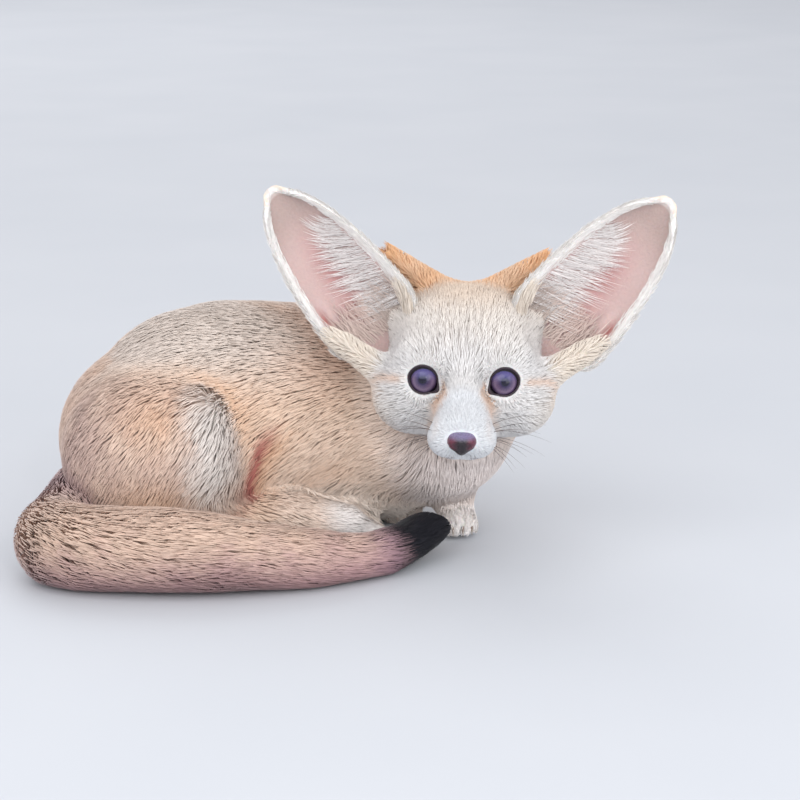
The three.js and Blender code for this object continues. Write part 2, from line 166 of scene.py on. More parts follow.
def centreLine(stations, steps):
    # points and radii along a smooth curve through stations, each one x, y, z and radius
    stations = np.array(stations, float)
    line = np.vstack([2 * stations[0] - stations[1], stations, 2 * stations[-1] - stations[-2]])[:, :3]
    points, radii = [], []
    for step in range(steps + 1):
        along = step / steps * (len(stations) - 1)
        i = min(len(stations) - 2, int(along))
        t = along - i
        a, b, c, d = line[i:i + 4]
        before, middle, after = [max(np.linalg.norm(q - p), 1e-3) ** 0.5 for p, q in ((a, b), (b, c), (c, d))]
        leave = (b - a) / before - (c - a) / (before + middle) + (c - b) / middle
        arrive = (c - b) / middle - (d - b) / (middle + after) + (d - c) / after
        leave, arrive = leave * middle, arrive * middle
        points.append(b + leave * t + (3 * (c - b) - 2 * leave - arrive) * t**2
                      + (2 * (b - c) + leave + arrive) * t**3)
        radii.append(stations[i, 3] + (stations[i + 1, 3] - stations[i, 3]) * fade(t, 0, 1))
    return np.array(points), np.array(radii)


def sweep(line, breadth=1.0):
    points, radii = line
    links = [limb(points[i], points[i + 1], radii[i:i + 2], breadth) for i in range(len(points) - 1)]
    return lambda places: np.min([link(places) for link in links], axis=0)


def joined(fillet, *distances):
    total = distances[0]
    for other in distances[1:]:
        overlap = np.maximum(fillet - np.abs(total - other), 0)
        total = np.minimum(total, other) - overlap**2 / (4 * fillet)
    return total


def blend(fillet, *forms):
    return lambda points: joined(fillet, *[form(points) for form in forms])


def cutAway(fillet, distance, cutter):
    return -joined(fillet, -distance, cutter)


# Head

headPlace = np.array([26.5, -27, 85.6])
headRoll, headYaw = math.radians(1.2), math.radians(-2.2)
headTurn = (np.array([[math.cos(headYaw), -math.sin(headYaw), 0], [math.sin(headYaw), math.cos(headYaw), 0], [0, 0, 1]])
            @ np.array([[math.cos(headRoll), 0, math.sin(headRoll)], [0, 1, 0], [-math.sin(headRoll), 0, math.cos(headRoll)]]))
mirrorX = np.array([-1, 1, 1])


def toHead(points):
    # x to the left side of the face, y to the nape, z up, from midway between the eyes
    return (points - headPlace) @ headTurn


def fromHead(points):
    return np.asarray(points) @ headTurn.T + headPlace


def inHead(form):
    def distance(points):
        places = toHead(points)
        places[:, 0] = np.abs(places[:, 0])
        return form(places)
    return distance


def headSolid():
    skull = blend(9, ball((0, 25, 5), (31, 35, 29)), ball((0, 6, -5), (29, 14, 18)), ball((21, 11, -11), (18, 21, 17)))
    muzzle = blend(5, limb((0, 0, -9), (0, -29, -17), (16.5, 9.5)), limb((0, -4, -1), (0, -32, -13), (10, 6)),
                   ball((6.4, -29.5, -18.5), (7.4, 9.5, 7.2)), limb((0, 0, -20), (0, -23, -22.5), (12, 5)))
    brow = ball((16, 1, 8), (11, 9, 8))
    earBase = limb((20, 30, 13), (32, 36, 24), (12, 7))
    socket = ball((16.4, -13.2, -1.2), (8.6, 8, 7.6))
    # the fold of fur that joins the ear's outer edge to the cheek, and the fur behind its inner edge
    earFold = blend(3, limb((26, 10, -7), (50, 14, 8), (8.5, 5)), limb((50, 14, 8), (57.5, 15, 12.5), (5, 4)))
    earBack = limb((10, 34, 26), (41, 31, 50), (8.5, 3))
    whole = blend(4, blend(8, skull, muzzle, brow, earBase), earFold, earBack)
    return inHead(lambda points: cutAway(4, whole(points), socket(points)))


# Legs, trunk and tail

paws = {"forepaw_right": ((25.5, 27), -90), "forepaw_left": ((1.5, 46), -92),
        "hindpaw_right": ((-19, 3), 10), "hindpaw_left": ((-19, 81), 6)}
toeSides = (-6.2, -2.2, 2.2, 6.2)


def toesOf(paw):
    # the middle of each toe and the place of its claw
    (x, y), heading = paws[paw]
    ahead = np.array([math.cos(math.radians(heading)), math.sin(math.radians(heading)), 0])
    aside = np.array([-ahead[1], ahead[0], 0])
    reach = [10.5 - abs(side) * 0.55 for side in toeSides]
    middles = [np.array([x, y, 5.2]) + ahead * r + aside * s for r, s in zip(reach, toeSides)]
    return middles, [middle + ahead * 6 for middle in middles], ahead


def pawSolid(paw):
    middles, _, _ = toesOf(paw)
    heading = paws[paw][1]
    return blend(2.2, ball((*paws[paw][0], 7), (11, 8.6, 8), heading),
                 *[ball(middle, (6.4, 3.3, 5.4), heading) for middle in middles])


def hindLeg(hip, knee, hock, ankle):
    return blend(7, ball(hip, (41, 27, 38.5)), ball(knee, (17, 15, 29)), limb(hock, ankle, (15, 12.5)))


tailLine = centreLine([(-127, 34, 38, 12), (-137, 18, 26, 14), (-142, -13, 18.5, 16.5), (-142, -42, 17.5, 18.5),
                       (-92, -53, 18.5, 18), (-44, -48, 13.5, 13.5), (-18, -38, 10.5, 10.2), (-6, -30, 10, 9.5)], 21)
# the brush is broad and high at its end, so that its black hair also stands for the shade in the gap between the hind
# foot and the forepaw
tipLine = centreLine([(-6, -30, 10, 9.5), (3, -20, 11, 9.5), (10, -11, 12.5, 9), (17, -4, 12, 5.5)], 8)
trunkLine = centreLine([(-107, 25, 44, 43.5), (-83, 33, 51, 52), (-50, 42, 50.5, 50.5), (-18, 44, 46, 45),
                        (6, 40, 52, 38)], 10)

flesh = {
    "head": headSolid(),
    "tail_tip": sweep(tipLine),
    "tail": sweep(tailLine),
    "forepaw_right": pawSolid("forepaw_right"),
    "forepaw_left": pawSolid("forepaw_left"),
    "hindpaw_right": blend(3, limb((-50, -2, 16), (-24, 2, 11.5), (12.5, 9.5)), pawSolid("hindpaw_right")),
    "hindpaw_left": blend(3, limb((-50, 78, 14), (-24, 80, 11.5), (12.5, 9.5)), pawSolid("hindpaw_left")),
    "foreleg_right": limb((18, 36, 46), (24.5, 32, 14), (13, 8.6)),
    "foreleg_left": blend(6, ball((-4, 62, 44), (20, 16, 26)), limb((-2, 62, 36), (1.5, 54, 14), (13, 8.6))),
    "hindleg_right": hindLeg((-104, -2, 42), (-84, -12, 48), (-97, -11, 15), (-50, -2, 16)),
    "hindleg_left": hindLeg((-98, 60, 42), (-74, 68, 46), (-92, 72, 15), (-50, 78, 14)),
    "neck": blend(12, limb((28, 10, 70), (6, 42, 56), (30, 38)), ball((18, 24, 44), (30, 29, 26))),
    "trunk": blend(6, sweep(trunkLine, 0.9), limb((-50, 8, 20), (-16, 14, 13), (8.5, 7.5)),      # the belly's fur
                   limb((-50, 71, 18), (-20, 71.5, 13), (8, 7))),                                # on each hind foot
}
torsoParts = ["head", "neck", "trunk", "foreleg_right", "foreleg_left", "hindleg_right", "hindleg_left"]
tailParts = ["tail_tip", "tail"]
tailPoints = np.vstack([tailLine[0], tipLine[0][1:]])
tailRadii = np.concatenate([tailLine[1], tipLine[1][1:]])
tailWays = unit(np.gradient(tailPoints, axis=0))


def readFlesh(points):
    # distances to every part, and to the outline of the body and of the brush, out to the tips of the coat
    near = {name: form(points) for name, form in flesh.items()}
    torso = joined(10, *[near[name] for name in torsoParts])
    near["body"] = joined(3, torso, *[near[name] for name in paws])
    near["brush"] = joined(3, near["tail_tip"], near["tail"])
    return near


def alongTail(points):
    # the way that the tail runs, its radius beside each point, and how far along it that is from 0 to 1
    gaps = np.linalg.norm(points[:, None] - tailPoints[None, 1:-1], axis=2)
    weight = np.exp(-(gaps - gaps.min(1, keepdims=True)) / 3)
    weight /= weight.sum(1, keepdims=True)
    share = np.linspace(0, 1, len(tailPoints))[1:-1]
    return unit(weight @ tailWays[1:-1]), weight @ tailRadii[1:-1], weight @ share


# The coat of each part, in millimetres: how deep it is over the skin, and its tufts' length, breadth and spacing

coatOf = {
    "head": dict(depth=2.4, length=6.0, breadth=0.44, spacing=0.72),
    "neck": dict(depth=5.5, length=10.5, breadth=0.66, spacing=0.92),
    "trunk": dict(depth=5.0, length=11.0, breadth=0.72, spacing=0.99),
    "hindleg": dict(depth=4.6, length=10.0, breadth=0.68, spacing=0.94),
    "foreleg": dict(depth=2.8, length=6.0, breadth=0.48, spacing=0.80),
    "hindpaw": dict(depth=1.5, length=4.2, breadth=0.40, spacing=0.68),
    "forepaw": dict(depth=1.1, length=3.2, breadth=0.36, spacing=0.62),
    "tail": dict(depth=7.0, length=13.0, breadth=0.70, spacing=0.92),
    "tail_tip": dict(depth=4.5, length=12.0, breadth=0.60, spacing=0.72),
}
bodyParts = [name for name in flesh if name not in tailParts]


def kindOf(name):
    return name if name in coatOf else name.split("_")[0]


def shares(near, names, softness=3.5):
    # how far each point belongs to each part
    gaps = np.stack([near[name] for name in names], 1)
    weight = np.exp(-(gaps - gaps.min(1, keepdims=True)) / softness)
    return weight / weight.sum(1, keepdims=True)


def coatValue(share, names, key):
    return share @ np.array([coatOf[kindOf(name)][key] for name in names])


eyeball = dict(middle=(15.8, 0, -1.5), radius=8.4, opening=5.9, gaze=(0.13, -0.975, 0.17), cornea=0.8)
gaze = unit(np.array(eyeball["gaze"]))
eyeSide = unit(np.cross(gaze, (0, 0, 1)))
eyeSide *= np.sign(eyeSide[0])
eyeUp = unit(np.cross(eyeSide, gaze))
eyeUp *= np.sign(eyeUp[2])


def fromEye(head):
    # outwards, up and forward of the middle of the nearer eyeball
    places = head * np.where(head[:, :1] < 0, mirrorX, 1) - eyeball["middle"]
    return places @ np.stack([eyeSide, eyeUp, gaze], 1)


def openingRadius(angle):
    # the eye's outline between the lids: round, with a corner towards the nose and down
    corner = np.angle(np.exp(1j * (angle - math.radians(214))))
    outer = np.angle(np.exp(1j * (angle - math.radians(12))))
    return eyeball["opening"] * (1 + 0.27 * np.exp(-(corner / 0.34) ** 2) + 0.05 * np.exp(-(outer / 0.4) ** 2))


def headDepth(head):
    across, back, up = np.abs(head[:, 0]), head[:, 1], head[:, 2]
    depth = 2.3 - 1.7 * fade(back, -8, -24)                     # thin on the muzzle
    depth += 1.6 * fade(across, 22, 36) * fade(up, 6, -8)        # deep on the cheeks
    depth += 1.4 * fade(back, 26, 46)
    eyes = fromEye(head)
    return depth - (depth - 0.5) * fade(np.linalg.norm(eyes, axis=1), 15, 10.5)


def bodyDepth(points, near):
    share = shares(near, bodyParts)
    depths = np.array([coatOf[kindOf(name)]["depth"] for name in bodyParts])
    return share[:, 1:] @ depths[1:] + share[:, 0] * headDepth(toHead(points))


def skinLevel(points):
    # zero on the skin, which lies inside the outline by the coat's depth
    near = readFlesh(points)
    _, radius, _ = alongTail(points)
    body = near["body"] + bodyDepth(points, near)
    return np.minimum(body, near["brush"] + np.minimum(7, 0.42 * radius))


mouth = [limb((0, -39, -23.6), (6, -35, -25.2), (0.5, 0.6)), limb((6, -35, -25.2), (12, -24, -25.4), (0.6, 0.7)),
         limb((12, -24, -25.4), (15.5, -12, -22.5), (0.7, 0.5)), limb((0, -41, -20), (0, -39, -23.8), (0.45, 0.5))]


def mouthGap(head):
    mirrored = head * np.where(head[:, :1] < 0, mirrorX, 1)
    return np.min([line(mirrored) for line in mouth], axis=0)


def faceLevel(points):
    # the skin again, with the lids, the seat of the nose and the mouth
    level = skinLevel(points)
    head = toHead(points)
    eyes = fromEye(head)
    around = np.hypot(eyes[:, 0], eyes[:, 1])
    opening = openingRadius(np.arctan2(eyes[:, 1], eyes[:, 0]))
    lidTop = 1.0 + 0.5 * fade(eyes[:, 1], -3, 5)
    lid = np.hypot(around - opening - 1.5, (eyes[:, 2] - 4.6) * 0.8) - lidTop
    level = joined(3.2, level, lid)
    level = cutAway(0.5, level, np.linalg.norm(eyes, axis=1) - eyeball["radius"] - 0.02)
    fold = np.hypot(around - opening - 3.6, (eyes[:, 2] - 5) * 0.5) - 0.35      # the crease above the upper lid
    level = cutAway(1.2, level, fold + 2 * fade(eyes[:, 1], 3, 0))
    return cutAway(0.8, level, mouthGap(head))


def settle(points, level, passes=3, reach=2.5):
    # moves points along the level's slope until they lie on its zero
    points = points.copy()
    step = 0.05
    for _ in range(passes):
        probes = np.concatenate([points, *(points + step * axis for axis in np.eye(3))])
        here, *ahead = np.split(level(probes), 4)
        slope = (np.stack(ahead, 1) - here[:, None]) / step
        steep = np.maximum((slope**2).sum(1), 0.2)
        move = -slope * (here / steep)[:, None]
        points += move * np.minimum(1, reach / np.maximum(np.linalg.norm(move, axis=1), 1e-9))[:, None]
    return points


# Skin: copies of the flesh are merged into one mesh, drawn in to the skin, and refined on the face

skinCut = dict(voxel=0.0019, coarseVoxel=0.0028, faceCuts=2)


def copyOf(names):
    pick(*[nodes[name] for name in names])
    bpy.ops.object.duplicate()
    copies = list(bpy.context.selected_objects)
    pick(*copies)
    bpy.ops.object.join()
    piece = bpy.context.object
    for key in list(piece.keys()):
        del piece[key]
    bpy.ops.object.parent_clear(type="CLEAR")
    piece.data.materials.clear()
    bpy.ops.object.mode_set(mode="EDIT")
    bpy.ops.mesh.select_all(action="SELECT")
    bpy.ops.mesh.remove_doubles(threshold=1e-6)
    bpy.ops.transform.shrink_fatten(value=0.0005)
    bpy.ops.object.mode_set(mode="OBJECT")
    return piece


def relax(piece, rounds):
    pick(piece)
    bpy.ops.object.mode_set(mode="EDIT")
    bpy.ops.mesh.select_all(action="SELECT")
    bpy.ops.mesh.vertices_smooth(factor=0.5, repeat=rounds)
    bpy.ops.object.mode_set(mode="OBJECT")


def drawInSkin(names, level):
    piece = copyOf(names)
    for size in (skinCut["coarseVoxel"], skinCut["voxel"]):
        applyModifier(piece, "REMESH", mode="VOXEL", voxel_size=size)
        moveVertices(piece, toFrame(settle(toForm(verticesOf(piece)), level, passes=5)))
        relax(piece, 3)
    moveVertices(piece, toFrame(settle(toForm(verticesOf(piece)), level, passes=2)))
    return piece


def tailLevel(points):
    _, radius, _ = alongTail(points)
    return readFlesh(points)["brush"] + np.minimum(7, 0.42 * radius)


def bodyLevel(points):
    near = readFlesh(points)
    return near["body"] + bodyDepth(points, near)


skin = drawInSkin(bodyParts, bodyLevel)
tailSkin = drawInSkin(tailParts, tailLevel)
print("skin drawn in:", len(skin.data.vertices), len(tailSkin.data.vertices))


def refine(piece, chosen):
    # cuts up the faces that a test on their corners, in the head's frame, picks out
    pick(piece)
    bpy.ops.object.mode_set(mode="EDIT")
    bpy.ops.mesh.select_mode(type="VERT")
    bpy.ops.mesh.select_all(action="DESELECT")
    bpy.ops.object.mode_set(mode="OBJECT")
    piece.data.vertices.foreach_set("select", chosen(toHead(toForm(verticesOf(piece)))))
    bpy.ops.object.mode_set(mode="EDIT")
    bpy.ops.mesh.subdivide(number_cuts=1, smoothness=0)
    bpy.ops.object.mode_set(mode="OBJECT")


def nearFace(head):
    return (head[:, 1] < 6) & (np.abs(head[:, 0]) < 34) & (head[:, 2] > -32) & (head[:, 2] < 22)


def nearFeatures(head):
    eyes = fromEye(head)
    atEyes = (np.hypot(eyes[:, 0], eyes[:, 1]) < 13) & (eyes[:, 2] > 0)
    return nearFace(head) & (atEyes | (head[:, 1] < -20))


refine(skin, nearFace)
refine(skin, nearFeatures)
points = toForm(verticesOf(skin))
onFace = nearFace(toHead(points))
points[onFace] = settle(points[onFace], faceLevel, passes=5, reach=1.2)
moveVertices(skin, toFrame(points))
print("face refined:", len(skin.data.vertices))


# Ears: cupped shells with a thick rolled rim

ear = dict(root=(26, 13, 3), tip=(85.6, 33, 71.5), facing=(-0.02, -0.97, 0.22), width={1: 45.5, -1: 42}, cup=13.5,
           tipCup=3.5, rimThickness=3.0, thickness=1.5, columns=44, rows=64)


def earSurface(rise, across, side):
    # the middle of an ear's shell: rise goes from its root to its tip, across from its inner edge to its outer
    root, tip = np.array(ear["root"], float), np.array(ear["tip"], float)
    axis = tip - root
    over = unit(np.cross(axis, ear["facing"]))
    facing = unit(np.cross(over, axis))
    t = np.clip(rise, 0, 0.99)
    half = ear["width"][side] / 2 * np.sqrt(1 - t**2.6) * (0.6 + 0.4 * fade(t, 0, 0.25))
    cup = (ear["tipCup"] + (ear["cup"] - ear["tipCup"]) * (1 - t) ** 0.7) * np.minimum(1, half / 14)
    place = root + np.outer(rise * (1 - 0.06 * rise * across**2), axis)
    place += np.outer(across * half, over) + np.outer(cup * (np.abs(across) ** 2.2 - 1), facing)
    # the small pocket at the foot of the outer edge, and the thick fold at the foot of the inner one
    pocket = fade(rise, 0.23, 0.3) * fade(rise, 0.48, 0.38)
    place += np.outer(pocket * (2.4 * bell(across, 0.6, 0.1) - 1.8 * bell(across, 0.8, 0.08)), facing)
    place += np.outer(1.6 * bell(across, -0.9, 0.16) * fade(rise, 0.55, 0.15), facing)
    return fromHead(place * (side, 1, 1))


def earNormal(rise, across, side, step=0.004):
    up = earSurface(rise + step, across, side) - earSurface(rise - step, across, side)
    over = earSurface(rise, across + step, side) - earSurface(rise, across - step, side)
    return unit(np.cross(over, up)) * side       # out of the cup, the way that the ear faces


def makeEar(side):
    bpy.ops.object.select_all(action="DESELECT")
    bpy.ops.mesh.primitive_grid_add(x_subdivisions=ear["columns"], y_subdivisions=ear["rows"], size=2)
    shell = bpy.context.object
    flat = verticesOf(shell)
    rise = 0.985 * (1 - (1 - (flat[:, 1] + 1) / 2) ** 1.5)
    moveVertices(shell, toFrame(earSurface(rise, flat[:, 0], side)))
    group = shell.vertex_groups.new(name="thickness")
    edge = np.maximum(fade(np.abs(flat[:, 0]), 0.8, 0.96), fade(rise, 0.93, 0.98))
    least = ear["thickness"] / ear["rimThickness"]
    for i, amount in enumerate(np.maximum(edge, 0.9 * fade(rise, 0.12, 0))):
        group.add([i], least + (1 - least) * float(amount), "REPLACE")
    applyModifier(shell, "SOLIDIFY", thickness=ear["rimThickness"] / 1000, offset=0, vertex_group="thickness",
                  use_even_offset=False)
    pick(shell)
    bpy.ops.object.mode_set(mode="EDIT")
    bpy.ops.mesh.select_all(action="SELECT")
    bpy.ops.mesh.vertices_smooth(factor=0.5, repeat=2)
    bpy.ops.mesh.normals_make_consistent(inside=False)
    bpy.ops.object.mode_set(mode="OBJECT")
    return shell


def keepLargest(piece):
    # leaves out the specks that the remesh and the joins shed
    pick(piece)
    bpy.ops.object.mode_set(mode="EDIT")
    bpy.ops.mesh.select_all(action="SELECT")
    bpy.ops.mesh.separate(type="LOOSE")
    bpy.ops.object.mode_set(mode="OBJECT")
    parts = list(bpy.context.selected_objects)
    largest = max(parts, key=lambda part: len(part.data.vertices))
    pick(largest)
    for part in parts:
        if part != largest:
            bpy.data.objects.remove(part)
    return largest


for extra in (tailSkin, makeEar(1), makeEar(-1)):
    applyModifier(skin, "BOOLEAN", operation="UNION", object=extra, solver="MANIFOLD")
    deselect()
    bpy.data.objects.remove(extra)
    print("joined to the skin:", len(skin.data.vertices))
skin = keepLargest(skin)
skin.name = "skin"
pick(skin)
bpy.ops.object.mode_set(mode="EDIT")
bpy.ops.mesh.select_all(action="SELECT")
bpy.ops.mesh.remove_doubles(threshold=2e-5)
bpy.ops.mesh.quads_convert_to_tris()
bpy.ops.uv.smart_project(angle_limit=math.radians(66), island_margin=0.002)
bpy.ops.object.mode_set(mode="OBJECT")
skin.data.uv_layers[0].name = "OFBake"
bpy.ops.object.shade_smooth()
print("skin:", len(skin.data.polygons), "faces")


# Where the skin is an ear: how far up it, how far across it and how far in front of its middle

earGrid = np.meshgrid(np.linspace(0, 0.985, 90), np.linspace(-1, 1, 60), indexing="ij")
earRise, earAcross = (values.ravel() for values in earGrid)
earTrees = []
for side in (1, -1):
    samples = earSurface(earRise, earAcross, side)
    tree = kdtree.KDTree(len(samples))
    for i, sample in enumerate(samples):
        tree.insert(sample, i)
    tree.balance()
    earTrees.append((side, tree, samples, earNormal(earRise, earAcross, side)))


def readEar(points):
    found = dict(gap=np.full(len(points), 99.0), rise=np.zeros(len(points)), across=np.zeros(len(points)),
                 front=np.zeros(len(points)))
    sideways = toHead(points)[:, 0]
    high = toHead(points)[:, 2] > -2
    for side, tree, samples, normals in earTrees:
        for i in np.nonzero((sideways * side > 3) & high)[0]:
            _, j, gap = tree.find(points[i])
            found["gap"][i] = gap
            found["rise"][i], found["across"][i] = earRise[j], earAcross[j]
            found["front"][i] = (points[i] - samples[j]) @ normals[j]
    return found


# Markings and painted shade, shared by the skin and the coat

tones = dict(
    sand="#dfc5b0", backGrey="#cfc6bf", shoulder="#e0b9a0", orange="#deb18c", flank="#e6cebb", belly="#ece3da",
    thigh="#cbb2a4", patch="#dcd6d1", fold="#a85854", tailTop="#d3b8a6", tailUnderShade="#a9828a", tailEnd="#8a6c7c",
    tailTip="#0b0b16", foot="#f6f1ee", legs="#f8f0ec", breast="#ece1dc", neck="#ebd8c9", white="#dedcdb",
    cream="#e4d9cc", crown="#d3bfac", streak="#e0b594", forehead="#a89d97", crownBack="#e0b187", rim="#ebe8e5",
    earInside="#c3a9a5", earRose="#b08280", earTan="#ae9a94", earBase="#8b7876", earBack="#e4d8ca",
    earBackBase="#dfb488", pocket="#a9635f", lip="#6d4a4c", muzzle="#d9dce0", lid="#1d151d", fringe="#f2edeb",
    noseTopReflection="#7f7499", noseWingHighlight="#6d2c41", noseLow="#1c0f1a")
toneOf = {"head": "white", "neck": "neck", "trunk": "sand", "hindleg": "thigh", "foreleg": "legs", "hindpaw": "foot",
          "forepaw": "foot", "tail": "tailTop", "tail_tip": "tailTip"}


def paint(colour, tone, amount):
    colour += (linear(tones[tone]) - colour) * np.clip(amount, 0, 1)[:, None]


def paintBody(points, near):
    # markings and painted shade of everything but the ears
    names = list(flesh)
    share = shares(near, names, 2.5)
    colour = share @ np.array([linear(tones[toneOf[kindOf(name)]]) for name in names])
    part = {name: share[:, i] for i, name in enumerate(names)}
    x, y, z = points.T
    front = fade(y, 30, 10)
    patchy = waves(points, 17, 1)
    fine = waves(points, 7, 2)

    trunk = part["trunk"]
    paint(colour, "backGrey", trunk * fade(z, 64, 88) * 0.8)
    paint(colour, "shoulder", trunk * bell(x, -22, 26) * fade(z, 58, 84) * (0.55 + 0.3 * patchy))
    paint(colour, "flank", trunk * fade(z, 70, 48) * 0.7)
    paint(colour, "orange", trunk * bell(z, 66, 12) * bell(x, -78, 20) * front * 0.55)
    paint(colour, "orange", trunk * np.clip(patchy - 0.35, 0, 1) * 0.45)
    paint(colour, "belly", trunk * fade(z, 46, 18) * 0.8)
    paint(colour, "tailEnd", (trunk + part["hindleg_right"]) * fade(x, -108, -134) * fade(z, 16, 40) * 0.2)

    thigh = part["hindleg_right"] + part["hindleg_left"]
    rightThigh = part["hindleg_right"] * front
    paint(colour, "orange", thigh * bell(z, 66, 10) * bell(x, -98, 16) * 0.5)
    paint(colour, "orange", thigh * bell(z, 33, 9) * bell(x, -100, 16) * 0.55)
    paint(colour, "flank", thigh * np.clip(fine, 0, 1) * 0.4)
    paint(colour, "patch", rightThigh * bell(x + 2 * fine, -77.5, 9) * fade(z, 28, 42) * fade(z, 84, 66) * 0.9)
    # the rufous fold between thigh and flank slants down and back; the dark red line along its middle is painted crease
    # shade
    crease = fade(z, 18, 26) * fade(z, 64, 50) * front * (trunk + part["hindleg_right"])
    fromFold = x + 57 + 0.6 * (49.5 - z)
    paint(colour, "orange", crease * bell(fromFold, 4, 8) * 0.7)
    # painted shade: dark red laid along the crease itself, over the rufous fur
    paint(colour, "fold", crease * bell(fromFold, 0, 4.2) * 0.9)
    paint(colour, "tailEnd", fade(x, -122, -134) * bell(z, 34, 12) * (1 - part["tail"]) * 0.5)

    _, _, along = alongTail(points)
    brush = part["tail"]
    # painted shade: the tail is darkened to mauve towards its underside, and in patches over its lower half
    paint(colour, "tailUnderShade", brush * fade(z, 25, 7) * 0.8)
    paint(colour, "tailUnderShade", brush * np.clip(fine - 0.2, 0, 1) * fade(z, 32, 16) * 0.4)
    paint(colour, "tailEnd", brush * fade(along, 0.32, 0.12) * 0.75)
    paint(colour, "tailEnd", brush * fade(along, 0.58, 0.70) * 0.9)
    paint(colour, "tailTip", (brush + part["tail_tip"]) * fade(along + 0.02 * fine, 0.665, 0.735))

    paws = part["hindpaw_right"] + part["hindpaw_left"]
    paint(colour, "sand", paws * fade(x + 0.35 * z, -20, -36) * 0.8)
    paint(colour, "sand", thigh * fade(z, 34, 24) * fade(x, -86, -70) * 0.7)
    paint(colour, "breast", part["neck"] * fade(z, 70, 44) * fade(x, -6, 14))
    paint(colour, "sand", part["neck"] * fade(y, 22, 44) * 0.7)
    paint(colour, "shoulder", part["neck"] * fade(z, 74, 90) * fade(y, 14, 34) * 0.5)

    head = toHead(points)
    across, back, up = np.abs(head[:, 0]), head[:, 1], head[:, 2]
    face = part["head"]
    paint(colour, "cream", face * fade(up, 4, 24) * 0.6)
    paint(colour, "crown", face * fade(up, 20, 32) * 0.9)
    paint(colour, "crownBack", face * fade(back, 18, 32) * fade(up, 14, 28) * (0.75 + 0.2 * fine))
    paint(colour, "sand", face * fade(back, 34, 46) * 0.8)
    paint(colour, "cream", face * fade(across, 22, 32) * fade(up, -2, -14) * 0.5)
    front = fade(back, 10, 2)
    inner = np.abs(across - (8.2 + 0.9 * np.sin(up * 0.5) + 0.35 * np.maximum(-up - 8, 0)))
    paint(colour, "streak", face * front * bell(inner, 0, 1.35) * fade(up, 1, -3) * fade(up, -22, -11) * 0.8)
    outer = np.abs(up + 0.6 + 0.45 * np.maximum(across - 25, 0))
    paint(colour, "streak", face * front * bell(outer, 0, 1.5) * fade(across, 23, 26) * fade(across, 36, 31) * 0.5)
    paint(colour, "streak", face * front * bell(across, 33.5, 2) * bell(up, -7, 6) * 0.35)
    paint(colour, "forehead", face * front * fade(up, 6, 14) * fade(up, 30, 22) * fade(across, 16, 9)
          * np.clip(np.sin(head[:, 0] * 2.3 + 1.4 * fine) + 0.2 * fine, 0, 1) * 0.35)
    paint(colour, "muzzle", face * fade(back, -18, -26) * 0.8)
    paint(colour, "lip", face * fade(mouthGap(head), 1.0, 0.2))
    eyes = fromEye(head)
    around = np.hypot(eyes[:, 0], eyes[:, 1]) - openingRadius(np.arctan2(eyes[:, 1], eyes[:, 0]))
    paint(colour, "lid", face * fade(around, 0.6, 0.2) * fade(eyes[:, 2], 0, 2))
    # cream fur of the fold under each ear, and orange-buff fur behind it
    paint(colour, "cream", face * fade(across, 30, 38) * fade(back, 26, 20))
    paint(colour, "crownBack", face * fade(up, 36, 44) * fade(back, 22, 28))
    return colour


def paintEar(rise, across, front):
    inside = np.tile(linear(tones["earInside"]), (len(rise), 1))
    paint(inside, "earTan", fade(rise, 0.64, 0.87) * 0.9)
    paint(inside, "earRose", bell(rise, 0.52, 0.16) * bell(across, 0.02, 0.34) * 0.85)
    paint(inside, "earRose", bell(rise, 0.3, 0.09) * bell(across, 0.15, 0.25) * 0.7)
    # the pink bare skin of the pocket, darkened in its groove as painted shade
    paint(inside, "pocket", bell(rise, 0.36, 0.05) * bell(across, 0.8, 0.08))
    # painted shade: the foot of the cup round the ear's opening, and the foot of the inner edge's fold, are darkened to
    # brownish grey
    paint(inside, "earBase", fade(rise, 0.31, 0.18) * fade(across, 0.1, -0.5) * 0.9)
    paint(inside, "earBase", bell(across, -0.76, 0.1) * fade(rise, 0.48, 0.2) * 0.5)
    paint(inside, "rim", np.maximum(fade(np.abs(across), 0.84, 0.95), fade(rise, 0.94, 0.97)))
    outside = np.tile(linear(tones["earBack"]), (len(rise), 1))
    paint(outside, "earBackBase", fade(rise, 0.5, 0.2) * fade(across, 0.4, -0.6))
    paint(outside, "sand", fade(rise, 0.4, 0.15) * 0.6)
    paint(outside, "rim", fade(np.abs(across), 0.88, 0.98))
    return np.where((front > 0)[:, None], inside, outside)


def paintPoints(points, near, ear):
    colour = paintBody(points, near)
    mix = fade(ear["gap"], 4.5, 2.2) * fade(near["body"], -1.5, 0.3)
    return colour + (paintEar(ear["rise"], ear["across"], ear["front"]) - colour) * mix[:, None]


def storeColour(piece, colour):
    attribute = piece.data.color_attributes.new(name="coatColour", type="FLOAT_COLOR", domain="POINT")
    values = np.ones((len(colour), 4), np.float32)
    values[:, :3] = np.clip(colour, 0, 1)
    attribute.data.foreach_set("color", values.ravel())


# Materials

def addNode(tree, kind, inputs={}, **settings):
    node = tree.nodes.new(kind)
    for key, value in settings.items():
        setattr(node, key, value)
    for socket, value in inputs.items():
        if isinstance(value, bpy.types.NodeSocket):
            tree.links.new(value, node.inputs[socket])
        else:
            node.inputs[socket].default_value = value
    return node


def newMaterial(name, **finish):
    material = bpy.data.materials.new(name)
    material.use_nodes = True
    shader = material.node_tree.nodes["Principled BSDF"]
    for socket, value in finish.items():
        shader.inputs[socket.replace("_", " ")].default_value = value
    return material, material.node_tree, shader


def dress(piece, material):
    piece.data.materials.clear()
    piece.data.materials.append(material)


